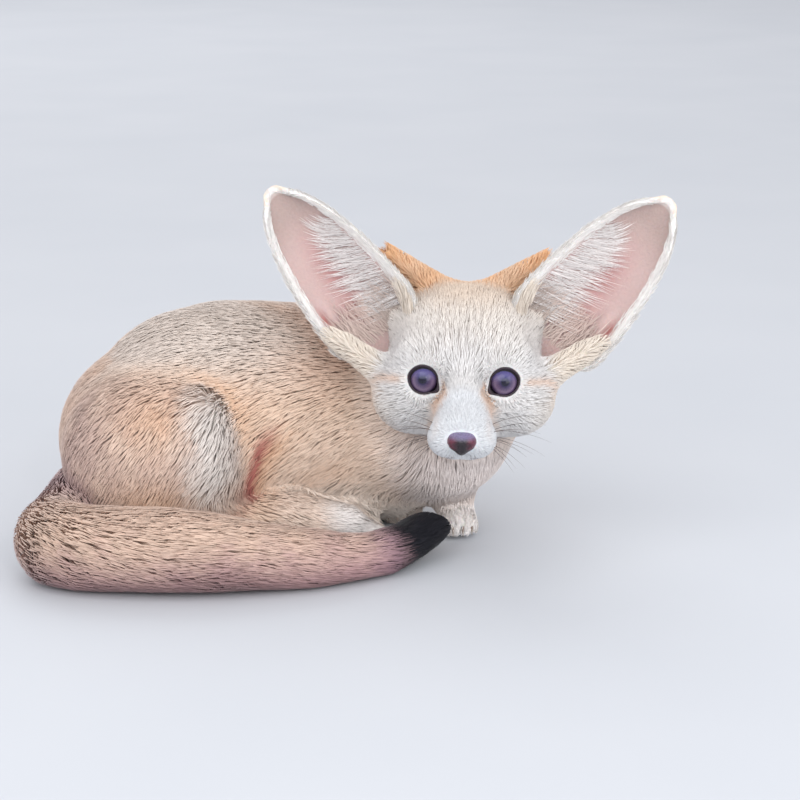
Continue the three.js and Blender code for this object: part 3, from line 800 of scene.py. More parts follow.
def furMaterial(name, bump, **finish):
    # soft guard hair: matt, with a light bloom at its edges
    material, tree, shader = newMaterial(name, **finish)
    colour = addNode(tree, "ShaderNodeAttribute", attribute_name="coatColour")
    place = addNode(tree, "ShaderNodeTexCoord")
    streaks = addNode(tree, "ShaderNodeTexNoise", {"Vector": place.outputs["Object"], "Scale": 900, "Detail": 3})
    shade = addNode(tree, "ShaderNodeMapRange", {"Value": streaks.outputs["Fac"], "To Min": 0.9, "To Max": 1.08})
    tinted = addNode(tree, "ShaderNodeVectorMath", {0: colour.outputs["Color"], "Scale": shade.outputs["Result"]},
                     operation="SCALE")
    tree.links.new(tinted.outputs["Vector"], shader.inputs["Base Color"])
    if bump:
        relief = addNode(tree, "ShaderNodeBump", {"Height": streaks.outputs["Fac"], "Strength": bump, "Distance": 0.0006})
        tree.links.new(relief.outputs["Normal"], shader.inputs["Normal"])
    return material


skinMaterial = furMaterial("short underfur on skin", 0.5, Roughness=0.8, Specular_IOR_Level=0.25, Sheen_Weight=0.25,
                           Subsurface_Weight=0.12, Subsurface_Scale=0.002)
coatMaterial = furMaterial("combed guard hair", 0, Roughness=0.75, Specular_IOR_Level=0.22, Sheen_Weight=0.18,
                           Sheen_Roughness=0.45)

skinPoints = toForm(verticesOf(skin))
skinNear = readFlesh(skinPoints)
storeColour(skin, paintPoints(skinPoints, skinNear, readEar(skinPoints)))
dress(skin, skinMaterial)
print("skin painted")


# Coat: tufts of three-sided tapered blades, each bent once, rooted in the skin

tuftFaces = np.array([(0, 2, 1), (0, 1, 4), (0, 4, 3), (1, 2, 5), (1, 5, 4), (2, 0, 3), (2, 3, 5), (3, 4, 6),
                      (4, 5, 6), (5, 3, 6)])
underFaces = (0, 1, 2, 7)
tuftPatch = np.array([(0, 0), (1, 0), (0.5, 0.25), (0.15, 0.5), (0.85, 0.5), (0.5, 0.65), (0.5, 1)]) * 0.003
mostTufts = 19500       # in one piece, which keeps it under 200,000 triangles


def makeTufts(name, slot, root, normal, mid, tip, breadth, colour, patch):
    order = np.argsort(root[:, 0], kind="stable")
    count = math.ceil(len(order) / mostTufts)
    for number, chosen in enumerate(np.array_split(order, count)):
        pieceName = name if count == 1 else name + "_" + str(number + 1)
        makeTuftPiece(pieceName, slot, *[values[chosen] for values in (root, normal, mid, tip, breadth, colour, patch)])


def makeTuftPiece(name, slot, root, normal, mid, tip, breadth, colour, patch):
    run = unit(tip - root)
    side = unit(np.cross(run, normal))
    out = np.cross(side, run)
    half = breadth[:, None] / 2
    corners = [side, -side, out * 0.5]
    places = np.stack([*(root + corner * half for corner in corners),
                       *(mid + corner * half * 0.8 for corner in corners), tip], 1)
    places[..., 2] = np.maximum(places[..., 2], 0.25)
    # shaded softly with the skin's slope above, and by its own underside below
    above = np.stack([*(unit(normal + 0.4 * corner) for corner in corners * 2), unit(normal + 0.3 * out)], 1)
    below = np.stack([*(unit(0.5 * corner - out) for corner in corners * 2), unit(-out)], 1)
    underside = np.isin(np.arange(len(tuftFaces)), underFaces)[None, :, None, None]
    normals = np.where(underside, below[:, tuftFaces], above[:, tuftFaces])
    # painted shade and light: each tuft's colour is darkened at its root, under the rest of the coat, and lightened at
    # its tip
    shade = np.array([0.96, 0.96, 0.96, 1.0, 1.0, 1.0, 1.03])
    count = len(root)
    faces = (tuftFaces[None] + 7 * np.arange(count)[:, None, None]).reshape(-1, 3)

    mesh = bpy.data.meshes.new(name)
    mesh.vertices.add(7 * count)
    mesh.vertices.foreach_set("co", toFrame(places).astype(np.float32).ravel())
    mesh.loops.add(faces.size)
    mesh.loops.foreach_set("vertex_index", faces.ravel().astype(np.int32))
    mesh.polygons.add(len(faces))
    mesh.polygons.foreach_set("loop_start", np.arange(0, faces.size, 3, dtype=np.int32))
    mesh.update(calc_edges=True)
    layer = mesh.uv_layers.new(name="OFBake")
    corners = (patch[:, None] + tuftPatch[None]).reshape(-1, 2)
    layer.data.foreach_set("uv", corners[faces.ravel()].astype(np.float32).ravel())
    mesh.normals_split_custom_set(normals.reshape(-1, 3))
    piece = bpy.data.objects.new(name, mesh)
    scene.collection.objects.link(piece)
    storeColour(piece, (colour[:, None] * shade[None, :, None]).reshape(-1, 3))
    dress(piece, coatMaterial)
    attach(piece, "root")
    print(name, len(faces), "faces")


def lieOfCoat(points, share, names):
    # the way that the hair points, before it is laid along the surface
    part = {name: share[:, i, None] for i, name in enumerate(names)}
    x, y, z = points.T
    ways = np.zeros((len(points), 3))
    head = toHead(points)
    mirrored = head * np.where(head[:, :1] < 0, mirrorX, 1)
    fromNose = unit(mirrored - (0, -44, -15))
    fromNose += np.outer(fade(mirrored[:, 0], 18, 30) * fade(mirrored[:, 2], 10, -4), (0.25, 0.2, -0.55))
    fromNose += np.outer(fade(mirrored[:, 2], -18, -26), (0, 0.5, -0.4))
    # round an eye it runs away from the lids
    eyes = fromEye(head)
    around = np.hypot(eyes[:, 0], eyes[:, 1])
    away = unit(eyes * (1, 1, 0)) @ np.stack([eyeSide, eyeUp, gaze])
    fromNose += away * (2.5 * fade(around, 12, 7.5) * fade(eyes[:, 2], 0, 3))[:, None]
    fromNose *= np.where(head[:, :1] < 0, mirrorX, 1)
    ways += part["head"] * unit(fromNose @ headTurn.T)
    aside = fade(x, 24, -6)[:, None]
    ways += part["neck"] * unit(np.array([0.12, 0.1, -1]) * (1 - aside) + np.array([-0.9, 0.25, -0.45]) * aside
                                + np.outer(fade(y, 20, 50), (-0.8, 0.3, 0.2)))
    ways += part["trunk"] * unit(np.stack([-np.ones(len(x)), -0.15 * np.ones(len(x)), -0.2 - 0.35 * fade(z, 85, 50)], 1))
    for name, way in (("hindleg_right", (-0.55, -0.1, -0.75)), ("hindleg_left", (-0.55, 0.1, -0.75)),
                      ("foreleg_right", (0.1, -0.2, -1)), ("foreleg_left", (0, -0.2, -1)),
                      ("forepaw_right", (0, -1, -0.25)), ("forepaw_left", (0, -1, -0.25)),
                      ("hindpaw_right", (1, 0.1, -0.1)), ("hindpaw_left", (1, 0.1, -0.1))):
        ways += part[name] * unit(np.array(way, float))
    along, _, far = alongTail(points)
    bend = fade(far, 0.04, 0.14) * fade(far, 0.46, 0.28)       # where the tail turns, its hair falls to the outside
    ways += (part["tail"] + part["tail_tip"]) * unit(along + np.outer(bend, (0.9, -0.2, -0.6)))
    # over the hock and along the foot it runs forward to the toes
    shank = part["hindleg_right"][:, 0] + part["hindleg_left"][:, 0]
    ways += np.outer(shank * fade(z, 40, 26) * fade(x, -92, -74) * 3, (1, 0.05, -0.25))
    ways += np.outer(part["trunk"][:, 0] * fade(z, 30, 22) * fade(x, -64, -52) * 2, (0.9, 0, -0.5))
    swirl = np.stack([waves(points, 21, 11), waves(points, 21, 12), waves(points, 21, 13)], 1)
    return unit(unit(ways) + 0.13 * swirl + chance.normal(0, 0.09, (len(points), 3)))


def rootsOnSkin():
    # roots spread over the skin, as many to a square millimetre as the part's coat asks for
    mesh = skin.data
    mesh.calc_loop_triangles()
    corners = np.empty(len(mesh.loop_triangles) * 3, np.int32)
    loops = corners.copy()
    mesh.loop_triangles.foreach_get("vertices", corners)
    mesh.loop_triangles.foreach_get("loops", loops)
    corners, loops = corners.reshape(-1, 3), loops.reshape(-1, 3)
    normals = np.empty(len(mesh.vertices) * 3, np.float32)
    mesh.vertices.foreach_get("normal", normals)
    maps = np.empty(len(mesh.loops) * 2, np.float32)
    mesh.uv_layers["OFBake"].data.foreach_get("uv", maps)
    places = skinPoints[corners]
    areas = np.linalg.norm(np.cross(places[:, 1] - places[:, 0], places[:, 2] - places[:, 0]), axis=1) / 2
    share = shares({name: values for name, values in skinNear.items()}, list(flesh))[corners].mean(1)
    middle = places.mean(1)
    head = toHead(middle)
    eyes = fromEye(head)
    spacing = coatValue(share, list(flesh), "spacing")
    spacing -= share[:, 0] * (0.24 * fade(head[:, 1], -8, -20) + 0.1 * fade(np.linalg.norm(eyes, axis=1), 16, 11))
    density = 1 / spacing**2
    near = {name: values[corners].mean(1) for name, values in skinNear.items()}
    isTail = share[:, 1] + share[:, 2] > 0.5
    around = np.hypot(eyes[:, 0], eyes[:, 1]) - openingRadius(np.arctan2(eyes[:, 1], eyes[:, 0]))
    ears = readEar(middle)
    facing = normals.reshape(-1, 3)[corners].mean(1)
    density[(around < 0.7) & (eyes[:, 2] > 0)] = 0
    density[near["nose"] < 0.3] = 0
    density[mouthGap(head) < 0.5] = 0
    density[(ears["gap"] < 2.6) & (near["body"] > -1)] = 0
    density[(middle[:, 2] < 3.5) & (facing[:, 2] < -0.5)] = 0
    density[(isTail & (near["body"] < -5)) | (~isTail & (near["brush"] < -3))] = 0
    running = np.cumsum(areas * density)
    count = int(running[-1])
    picked = np.searchsorted(running, (np.arange(count) + chance.random(count)) * running[-1] / count)
    picked = np.minimum(picked, len(areas) - 1)
    a, b = chance.random((2, count))
    a, b = np.where(a + b > 1, 1 - a, a), np.where(a + b > 1, 1 - b, b)
    weight = np.stack([1 - a - b, a, b], 1)[..., None]
    root = (places[picked] * weight).sum(1)
    normal = unit((normals.reshape(-1, 3)[corners[picked]] * weight).sum(1))
    patch = (maps.reshape(-1, 2)[loops[picked]] * weight).sum(1)
    return root, normal, patch, share[picked]


def noseLevel(points):
    head = toHead(points)
    mirrored = head * np.where(head[:, :1] < 0, mirrorX, 1)
    pad = blend(2.5, ball((0, -38, -16.9), (4.9, 5, 3.6)), ball((3.1, -37.4, -17.5), (2.6, 4, 3.1)),
                ball((0, -38.2, -19.9), (2.3, 3.6, 3.0)))(mirrored)
    pad = cutAway(0.6, pad, ball((2.6, -42.4, -17.9), (1.25, 2.4, 1.0))(mirrored))
    pad = cutAway(0.5, pad, limb((3.2, -41.8, -18.2), (6.0, -38.5, -19.3), (0.5, 0.7))(mirrored))
    return cutAway(0.6, pad, limb((0, -43.0, -14.5), (0, -42.2, -22.5), (0.25, 0.35))(mirrored))


skinNear["nose"] = noseLevel(skinPoints)
root, normal, patch, share = rootsOnSkin()
names = list(flesh)
count = len(root)
near = readFlesh(root)
head = toHead(root)
eyes = fromEye(head)
onHead = share[:, names.index("head")]
length = coatValue(share, names, "length")
length -= onHead * (3.6 * fade(head[:, 1], -6, -22) + 3.0 * fade(np.linalg.norm(eyes, axis=1), 17, 11))
length += onHead * 2.5 * fade(np.abs(head[:, 0]), 22, 32) * fade(head[:, 2], 8, -6)
length = np.maximum(length, 1.7) * chance.uniform(0.75, 1.2, count)
breadth = coatValue(share, names, "breadth") * (1 - 0.3 * onHead * fade(head[:, 1], -8, -22)) * chance.uniform(0.75, 1.25, count)
way = lieOfCoat(root, share, names)
way -= normal * (way * normal).sum(1, keepdims=True)
way = unit(way)
isTail = share[:, 1] + share[:, 2] > 0.5
depth = -np.where(isTail, near["brush"], near["body"])
standing = np.maximum(depth, 0.9)       # how high the coat stands, also where the skin fills a fold
lift = chance.uniform(0.86, 1.0, count)


def toLevel(points, wanted):
    # draws points to the wanted depth under the outline of the body or of the brush
    def level(places):
        found = readFlesh(places)
        repeats = len(places) // count
        return np.where(np.tile(isTail, repeats), found["brush"], found["body"]) + np.tile(wanted, repeats)
    return settle(points, level, passes=2, reach=4)


mid = toLevel(root + way * (length * 0.5)[:, None], depth - standing * 0.9 * lift)
tip = mid + unit(unit(mid - root) * 0.6 + way * 0.6) * (length * 0.5)[:, None]
tip = toLevel(tip, depth - standing * lift)
# neighbouring tips lean together, as locks do
lock = np.floor((root + 2.0 * np.stack([waves(root, 9, s) for s in (21, 22, 23)], 1)) / 4.2).astype(int)
_, lock = np.unique(lock, axis=0, return_inverse=True)
lock = lock.ravel()
middles = np.stack([np.bincount(lock, tip[:, k]) / np.bincount(lock) for k in range(3)], 1)
pull = 0.2 * (1 - 0.5 * onHead)
tip += (middles[lock] - tip) * pull[:, None]

colour = paintPoints(root, near, readEar(root))
colour *= (1 + 0.045 * chance.normal(size=count) + 0.04 * waves(root, 5, 31))[:, None]
ticked = chance.random(count) < 0.025 * (share[:, names.index("trunk")] + isTail)
colour[ticked] *= 0.8
print("coat laid:", count, "tufts")

groups = {"coat_head": ["head"], "coat_neck": ["neck", "foreleg_right", "foreleg_left", "forepaw_right", "forepaw_left"],
          "coat_trunk": ["trunk"], "coat_hindlegs": ["hindleg_right", "hindleg_left", "hindpaw_right", "hindpaw_left"],
          "coat_tail": ["tail"], "coat_tail_tip": ["tail_tip"]}
slotOf = {"coat_head": "pale_coat", "coat_neck": "pale_coat", "coat_tail_tip": "tail_tip_coat"}
owner = share.argmax(1)
for group, members in groups.items():
    chosen = np.isin(owner, [names.index(member) for member in members])
    makeTufts(group, slotOf.get(group, "sandy_coat"), root[chosen] - normal[chosen] * 0.25, normal[chosen], mid[chosen],
              tip[chosen], breadth[chosen], colour[chosen], patch[chosen])


# Fur of the ears: the thick rim, the fringe across the cup and the short fur of the back

earFur = dict(rim=4400, fringe=620, lobe=380, skirt=300, back=3400, base=420)
skinTree = kdtree.KDTree(len(skinPoints))
for i, place in enumerate(skinPoints):
    skinTree.insert(place, i)
skinTree.balance()
vertexPatch = np.zeros((len(skinPoints), 2))
loopVertex = np.empty(len(skin.data.loops), np.int32)
skin.data.loops.foreach_get("vertex_index", loopVertex)
loopPatch = np.empty(len(skin.data.loops) * 2, np.float32)
skin.data.uv_layers["OFBake"].data.foreach_get("uv", loopPatch)
vertexPatch[loopVertex] = loopPatch.reshape(-1, 2)


def earTufts(side, rise, across, offset, riseStep, acrossStep, lift, breadth, tone, arch=1.0):
    # tufts from one place on the ear's shell to another, offset in front of its middle
    offset = np.broadcast_to(offset, rise.shape)
    normal = earNormal(rise, np.clip(across, -0.97, 0.97), side)
    root = earSurface(rise, across, side) + normal * offset[:, None]
    facing = normal * np.sign(offset)[:, None]
    ends = []
    for part in (0.5, 1.0):
        up, over = rise + riseStep * part, across + acrossStep * part
        place = earSurface(up, over, side) + earNormal(np.minimum(up, 0.97), np.clip(over, -0.97, 0.97), side) * offset[:, None]
        ends.append(place + facing * (lift * (arch if part < 1 else 1) * (0.7 if part < 1 else 1))[:, None])
    patch = vertexPatch[[skinTree.find(place)[1] for place in root]]
    colour = tone * (1 + 0.06 * chance.normal(size=(len(rise), 1)))
    return root, facing, ends[0], ends[1], breadth, colour, patch


def growEar(side):
    thin = 1
    rimHalf, shellHalf = ear["rimThickness"] / 2, ear["thickness"] / 2
    made = []
    count = int(earFur["rim"] * thin)
    rise = 0.14 + 0.83 * chance.random(count) ** 1.1
    across = np.where(chance.random(count) < 0.55, -1, 1) * (1 - 0.15 * chance.random(count) ** 1.3)
    offset = chance.uniform(-1, 1, count) * rimHalf * 0.9
    outwards = np.sign(across) * chance.uniform(-0.01, 0.05, count)
    tone = np.tile(linear(tones["rim"]), (count, 1))
    made.append(earTufts(side, rise, across, offset, chance.uniform(0.03, 0.055, count) * np.minimum(1, (1.0 - rise) * 8),
                         outwards, chance.uniform(0.3, 0.8, count), chance.uniform(0.3, 0.5, count), tone))

    count = int(earFur["fringe"] * thin)
    rise = chance.uniform(0.2, 0.72, count)
    across = -0.88 + 0.55 * chance.random(count) ** 1.6
    reach = chance.uniform(0.35, 0.85, count) * fade(rise, 0.82, 0.5)
    tone = np.outer(chance.uniform(0.85, 1.05, count), linear(tones["fringe"]))
    made.append(earTufts(side, rise, across, shellHalf * 0.8, 0.02 + 0.05 * chance.random(count) + 0.05 * rise, reach,
                         chance.uniform(0.4, 2.4, count), chance.uniform(0.18, 0.32, count), tone, arch=1.6))

    # the lobe at the foot of the inner edge, and the skirt that joins the outer edge to the cheek
    for part, edge, inwards in (("lobe", -0.95, 0.06), ("skirt", 0.9, -0.22)):
        count = int(earFur[part] * thin)
        rise = chance.uniform(0.16, 0.33, count)
        across = edge + chance.uniform(-0.12, 0.06, count) * np.sign(edge)
        tone = np.tile(linear(tones["cream"]), (count, 1))
        made.append(earTufts(side, rise, across, rimHalf * chance.choice((-0.8, 0.8), count),
                             -chance.uniform(0.07, 0.16, count), inwards * chance.uniform(0.3, 1.2, count),
                             chance.uniform(0.8, 2.6, count), chance.uniform(0.45, 0.75, count), tone))

    count = int(earFur["back"] * thin)
    rise = chance.uniform(0.14, 0.95, count)
    across = chance.uniform(-0.95, 0.95, count)
    tone = paintEar(rise, across, -np.ones(count))
    made.append(earTufts(side, rise, across, -shellHalf * 0.9, chance.uniform(0.05, 0.08, count) * np.minimum(1, (1.0 - rise) * 8),
                         chance.normal(0, 0.02, count), chance.uniform(0.3, 1.0, count), chance.uniform(0.5, 0.8, count), tone))

    count = int(earFur["base"] * thin)
    rise = chance.uniform(0.14, 0.3, count)
    across = chance.uniform(-0.9, 0.7, count)
    # these tufts take the inside colour of the ear, with its painted shade at the foot of the cup, mixed with cream
    tone = paintEar(rise, across, np.ones(count)) * 0.6 + linear(tones["cream"]) * 0.4
    made.append(earTufts(side, rise, across, shellHalf * 0.9, chance.uniform(0.05, 0.12, count), chance.normal(0.06, 0.08, count),
                         chance.uniform(1.0, 3.0, count), chance.uniform(0.4, 0.65, count), tone))
    return [np.concatenate(values) for values in zip(*made)]


for side, earName in ((1, "coat_ear_left"), (-1, "coat_ear_right")):
    makeTufts(earName, "ear", *growEar(side))


# Eyes: a ball with a domed cornea over a dark brown iris, in a dark leathery rim

def eyeMaterial():
    # wet cornea over the iris: a sharp clear coat; the iris shows fine fibres round a nearly round pupil, and a painted
    # reflection of the sky tints its upper half blue
    material, tree, shader = newMaterial("wet eye", Roughness=0.2, Specular_IOR_Level=0.25, Coat_Weight=0.8,
                                         Coat_IOR=1.38, Coat_Roughness=0.02)
    flat = addNode(tree, "ShaderNodeUVMap", uv_map="iris")
    centred = addNode(tree, "ShaderNodeVectorMath", {0: flat.outputs["UV"], 1: (0.5, 0.5, 0)}, operation="SUBTRACT")
    radius = addNode(tree, "ShaderNodeVectorMath", {0: centred.outputs["Vector"]}, operation="LENGTH")
    axes = addNode(tree, "ShaderNodeSeparateXYZ", {"Vector": centred.outputs["Vector"]})
    angle = addNode(tree, "ShaderNodeMath", {0: axes.outputs["Y"], 1: axes.outputs["X"]}, operation="ARCTAN2")
    spread = addNode(tree, "ShaderNodeCombineXYZ", {"X": angle.outputs["Value"], "Y": radius.outputs["Value"]})
    stretched = addNode(tree, "ShaderNodeVectorMath", {0: spread.outputs["Vector"], 1: (7, 6, 1)}, operation="MULTIPLY")
    fibres = addNode(tree, "ShaderNodeTexNoise", {"Vector": stretched.outputs["Vector"], "Scale": 2.2, "Detail": 4})
    rings = addNode(tree, "ShaderNodeValToRGB", {"Fac": radius.outputs["Value"]})
    stops = ((0.0, "#090820"), (0.085, "#0d0b26"), (0.125, "#3b3254"), (0.25, "#74607c"), (0.305, "#4c3b58"),
             (0.34, "#150f1b"), (1.0, "#150f1b"))
    ramp = rings.color_ramp
    while len(ramp.elements) < len(stops):
        ramp.elements.new(0.5)
    for element, (place, tone) in zip(ramp.elements, stops):
        element.position, element.color = place, (*linear(tone), 1)
    # painted reflection: blue laid over the upper half of the iris
    paintedSkyReflection = addNode(tree, "ShaderNodeMapRange", {"Value": axes.outputs["Y"], "From Min": 0.0, "From Max": 0.24, "To Max": 0.6})
    irisWithReflection = addNode(tree, "ShaderNodeMix", {"Factor": paintedSkyReflection.outputs["Result"], "A": rings.outputs["Color"], "B": (*linear("#5c62a6"), 1)}, data_type="RGBA")
    shade = addNode(tree, "ShaderNodeMapRange", {"Value": fibres.outputs["Fac"], "To Min": 0.6, "To Max": 1.4})
    tinted = addNode(tree, "ShaderNodeVectorMath", {0: irisWithReflection.outputs["Result"], "Scale": shade.outputs["Result"]}, operation="SCALE")
    tree.links.new(tinted.outputs["Vector"], shader.inputs["Base Color"])
    return material


def rimMaterial():
    # bare skin of the lids: nearly black, finely wrinkled and a little moist
    material, tree, shader = newMaterial("dark lid skin", Roughness=0.42, Specular_IOR_Level=0.5)
    place = addNode(tree, "ShaderNodeTexCoord")
    grain = addNode(tree, "ShaderNodeTexNoise", {"Vector": place.outputs["Object"], "Scale": 1800, "Detail": 3})
    tone = addNode(tree, "ShaderNodeMix", {"Factor": grain.outputs["Fac"], "A": (*linear("#1d141c"), 1), "B": (*linear("#3a2833"), 1)}, data_type="RGBA")
    relief = addNode(tree, "ShaderNodeBump", {"Height": grain.outputs["Fac"], "Strength": 0.4, "Distance": 0.0003})
    tree.links.new(tone.outputs["Result"], shader.inputs["Base Color"])
    tree.links.new(relief.outputs["Normal"], shader.inputs["Normal"])
    return material


def fromEyeFrame(local, side):
    places = local @ np.stack([eyeSide, eyeUp, gaze]) + eyeball["middle"]
    return toFrame(fromHead(places * (side, 1, 1)))


def faceOutwards(piece):
    pick(piece)
    bpy.ops.object.mode_set(mode="EDIT")
    bpy.ops.mesh.select_all(action="SELECT")
    bpy.ops.mesh.normals_make_consistent(inside=False)
    bpy.ops.object.mode_set(mode="OBJECT")
    bpy.ops.object.shade_smooth()


def makeEye(side, name):
    deselect()
    bpy.ops.mesh.primitive_uv_sphere_add(segments=96, ring_count=64, radius=eyeball["radius"] / 1000)
    eye = bpy.context.object
    eye.name = name
    local = verticesOf(eye) * 1000
    flat = local[:, :2] / (2 * eyeball["radius"]) + 0.5
    spread = np.hypot(local[:, 0], local[:, 1])
    local[:, 2] += (local[:, 2] > 0) * eyeball["cornea"] * fade(spread, 6.2, 0.5)
    moveVertices(eye, fromEyeFrame(local, side))
    layer = eye.data.uv_layers[0]
    layer.name = "iris"
    loops = np.empty(len(eye.data.loops), np.int32)
    eye.data.loops.foreach_get("vertex_index", loops)
    layer.data.foreach_set("uv", flat[loops].astype(np.float32).ravel())
    faceOutwards(eye)
    dress(eye, wetEye)
    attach(eye, "root")
    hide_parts(name[5:])


def seatOfRim(side):
    # how far forward of the eyeball's middle the lids' edge lies, right round the eye
    angles = np.radians(np.arange(0, 360, 3))
    opening = openingRadius(angles)
    forwards = np.linspace(9.5, 2.5, 71)
    ring = np.stack([np.cos(angles) * opening, np.sin(angles) * opening], 1)
    probes = np.concatenate([np.column_stack([ring, np.full(len(angles), forward)]) for forward in forwards])
    inside = (faceLevel(toForm(fromEyeFrame(probes, side))) < 0.05).reshape(len(forwards), -1)
    seat = np.where(inside.any(0), forwards[inside.argmax(0)], 2.5)
    seat = np.maximum(seat, np.sqrt(np.maximum(eyeball["radius"] ** 2 - opening**2, 0)) + 0.1)
    return angles, np.mean([np.roll(seat, turn) for turn in (-2, -1, 0, 1, 2)], axis=0)


def makeLidRim(side, name):
    deselect()
    bpy.ops.mesh.primitive_torus_add(major_segments=120, minor_segments=18, major_radius=1.0, minor_radius=0.1)
    rim = bpy.context.object
    rim.name = name
    local = verticesOf(rim)
    angle = np.arctan2(local[:, 1], local[:, 0])
    opening = openingRadius(angle)
    corner = fade(opening, 6.6, 7.6)
    thick = (0.42 + 0.4 * corner) * 10
    outwards = (np.hypot(local[:, 0], local[:, 1]) - 1) * thick
    forward = np.interp(angle, *seatOfRim(side), period=2 * math.pi) + 0.1
    around = opening - 0.05 + outwards
    local = np.stack([np.cos(angle) * around, np.sin(angle) * around, forward + local[:, 2] * thick], 1)
    moveVertices(rim, fromEyeFrame(local, side))
    faceOutwards(rim)
    dress(rim, lidSkin)
    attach(rim, "root")


wetEye, lidSkin = eyeMaterial(), rimMaterial()
for side, name in ((1, "left"), (-1, "right")):
    makeEye(side, "ball_eye_" + name)
    makeLidRim(side, "lid_rim_" + name)
print("eyes made")


# Nose: a pebbled pad with comma-shaped nostrils

def noseMaterial():
    material, tree, shader = newMaterial("moist nose leather", Roughness=0.38, Specular_IOR_Level=0.5, Coat_Weight=0.25, Coat_Roughness=0.25)
    place = addNode(tree, "ShaderNodeTexCoord")
    pebbles = addNode(tree, "ShaderNodeTexVoronoi", {"Vector": place.outputs["Object"], "Scale": 1500})      # pebbles of 0.6 mm
    tone = addNode(tree, "ShaderNodeAttribute", attribute_name="coatColour")
    # painted shade and light: the colour is darkened in the grooves between pebbles and lightened on their tops
    gaps = addNode(tree, "ShaderNodeMapRange", {"Value": pebbles.outputs["Distance"], "To Min": 1.15, "To Max": 0.6})
    tinted = addNode(tree, "ShaderNodeVectorMath", {0: tone.outputs["Color"], "Scale": gaps.outputs["Result"]}, operation="SCALE")
    relief = addNode(tree, "ShaderNodeBump", {"Height": pebbles.outputs["Distance"], "Strength": 0.35, "Distance": 0.0004}, invert=True)
    tree.links.new(tinted.outputs["Vector"], shader.inputs["Base Color"])
    tree.links.new(relief.outputs["Normal"], shader.inputs["Normal"])
    return material


deselect()
bpy.ops.mesh.primitive_ico_sphere_add(subdivisions=6, radius=0.006, location=toFrame(fromHead((0, -37.5, -17.8))))
nose = bpy.context.object
bpy.ops.object.transform_apply(location=True, rotation=True, scale=True)
nose.name = "nose_pad"
moveVertices(nose, toFrame(settle(toForm(verticesOf(nose)), noseLevel, passes=8, reach=1.5)))
relax(nose, 1)
bpy.ops.object.shade_smooth()
onNose = toHead(toForm(verticesOf(nose)))
onNose[:, 0] = np.abs(onNose[:, 0])
noseColour = np.tile(linear(tones["noseLow"]), (len(onNose), 1))
# painted highlight: the wings beside the nostrils are lightened to wine red
paint(noseColour, "noseWingHighlight", fade(onNose[:, 0], 1.2, 3.6) * fade(onNose[:, 2], -21, -18.5) * 0.9)
# painted reflection: the top of the pad, facing up, is lightened to lilac
paint(noseColour, "noseTopReflection", fade(onNose[:, 2], -16.6, -14.2) * 0.9)
paint(noseColour, "noseLow", bell(np.linalg.norm((onNose - (2.7, -42, -18)) / (1.5, 3, 1.1), axis=1), 0, 0.9))
storeColour(nose, noseColour)
dress(nose, noseMaterial())
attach(nose, "root")
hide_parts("nose")


# Claws: one curved horn, copied to each toe

claw = dict(length=5.2, radius=0.8, rooted=2.8, curve=0.05)
deselect()
bpy.ops.mesh.primitive_cone_add(vertices=16, radius1=claw["radius"], radius2=0.1, depth=claw["length"])
horn = bpy.context.object
bpy.ops.object.mode_set(mode="EDIT")
bpy.ops.mesh.select_all(action="SELECT")
bpy.ops.mesh.subdivide(number_cuts=4)
bpy.ops.object.mode_set(mode="OBJECT")
shape = verticesOf(horn)
along = shape[:, 2] + claw["length"] / 2
shape[:, 1] -= claw["curve"] * along**2
shape[:, 2] = along - claw["rooted"]
shape[:, 0] *= 0.8
copies = []
for paw in paws:
    _, places, ahead = toesOf(paw)
    slope = unit(ahead + (0, 0, -0.3))
    aside = unit(np.cross(slope, (0, 0, 1)))
    above = np.cross(aside, slope)
    for place in places:
        pick(horn)
        bpy.ops.object.duplicate()
        piece = bpy.context.object
        moved = place + shape @ np.stack([aside, above, slope])
        moved[:, 2] = np.maximum(moved[:, 2], 0.1)
        moveVertices(piece, toFrame(moved))
        copies.append(piece)
pick(horn)
bpy.ops.object.delete()
claws = pick(*copies)
bpy.ops.object.join()
claws.name = "claws"
faceOutwards(claws)
clawMaterial, tree, shader = newMaterial("grey-brown horn", Roughness=0.32, Specular_IOR_Level=0.5)
place = addNode(tree, "ShaderNodeTexCoord")
layers = addNode(tree, "ShaderNodeTexNoise", {"Vector": place.outputs["Object"], "Scale": 1200, "Detail": 2})
tone = addNode(tree, "ShaderNodeMix", {"Factor": layers.outputs["Fac"], "A": (*linear("#7d6c62"), 1), "B": (*linear("#b09e90"), 1)}, data_type="RGBA")
tree.links.new(tone.outputs["Result"], shader.inputs["Base Color"])
dress(claws, clawMaterial)
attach(claws, "root")
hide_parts(*[name for name in nodes if name.startswith("claw")])
print("nose and claws made")


# Whiskers: tapered bristles that fan out of the muzzle, and a few over the eyes

whisker = dict(rows=13, radius=0.12, longest=25, shortest=10, droop=0.28)


def whiskerSpline(curve, start, way, length, droop, radius):
    spline = curve.splines.new("POLY")
    steps = 12
    spline.points.add(steps)
    for i in range(steps + 1):
        t = i / steps
        place = start + way * (length * t) + np.array([0, 0, -1]) * droop * length * t * t
        spline.points[i].co = (*toFrame(fromHead(place)), 1)
        spline.points[i].radius = radius * (1 - 0.85 * t)


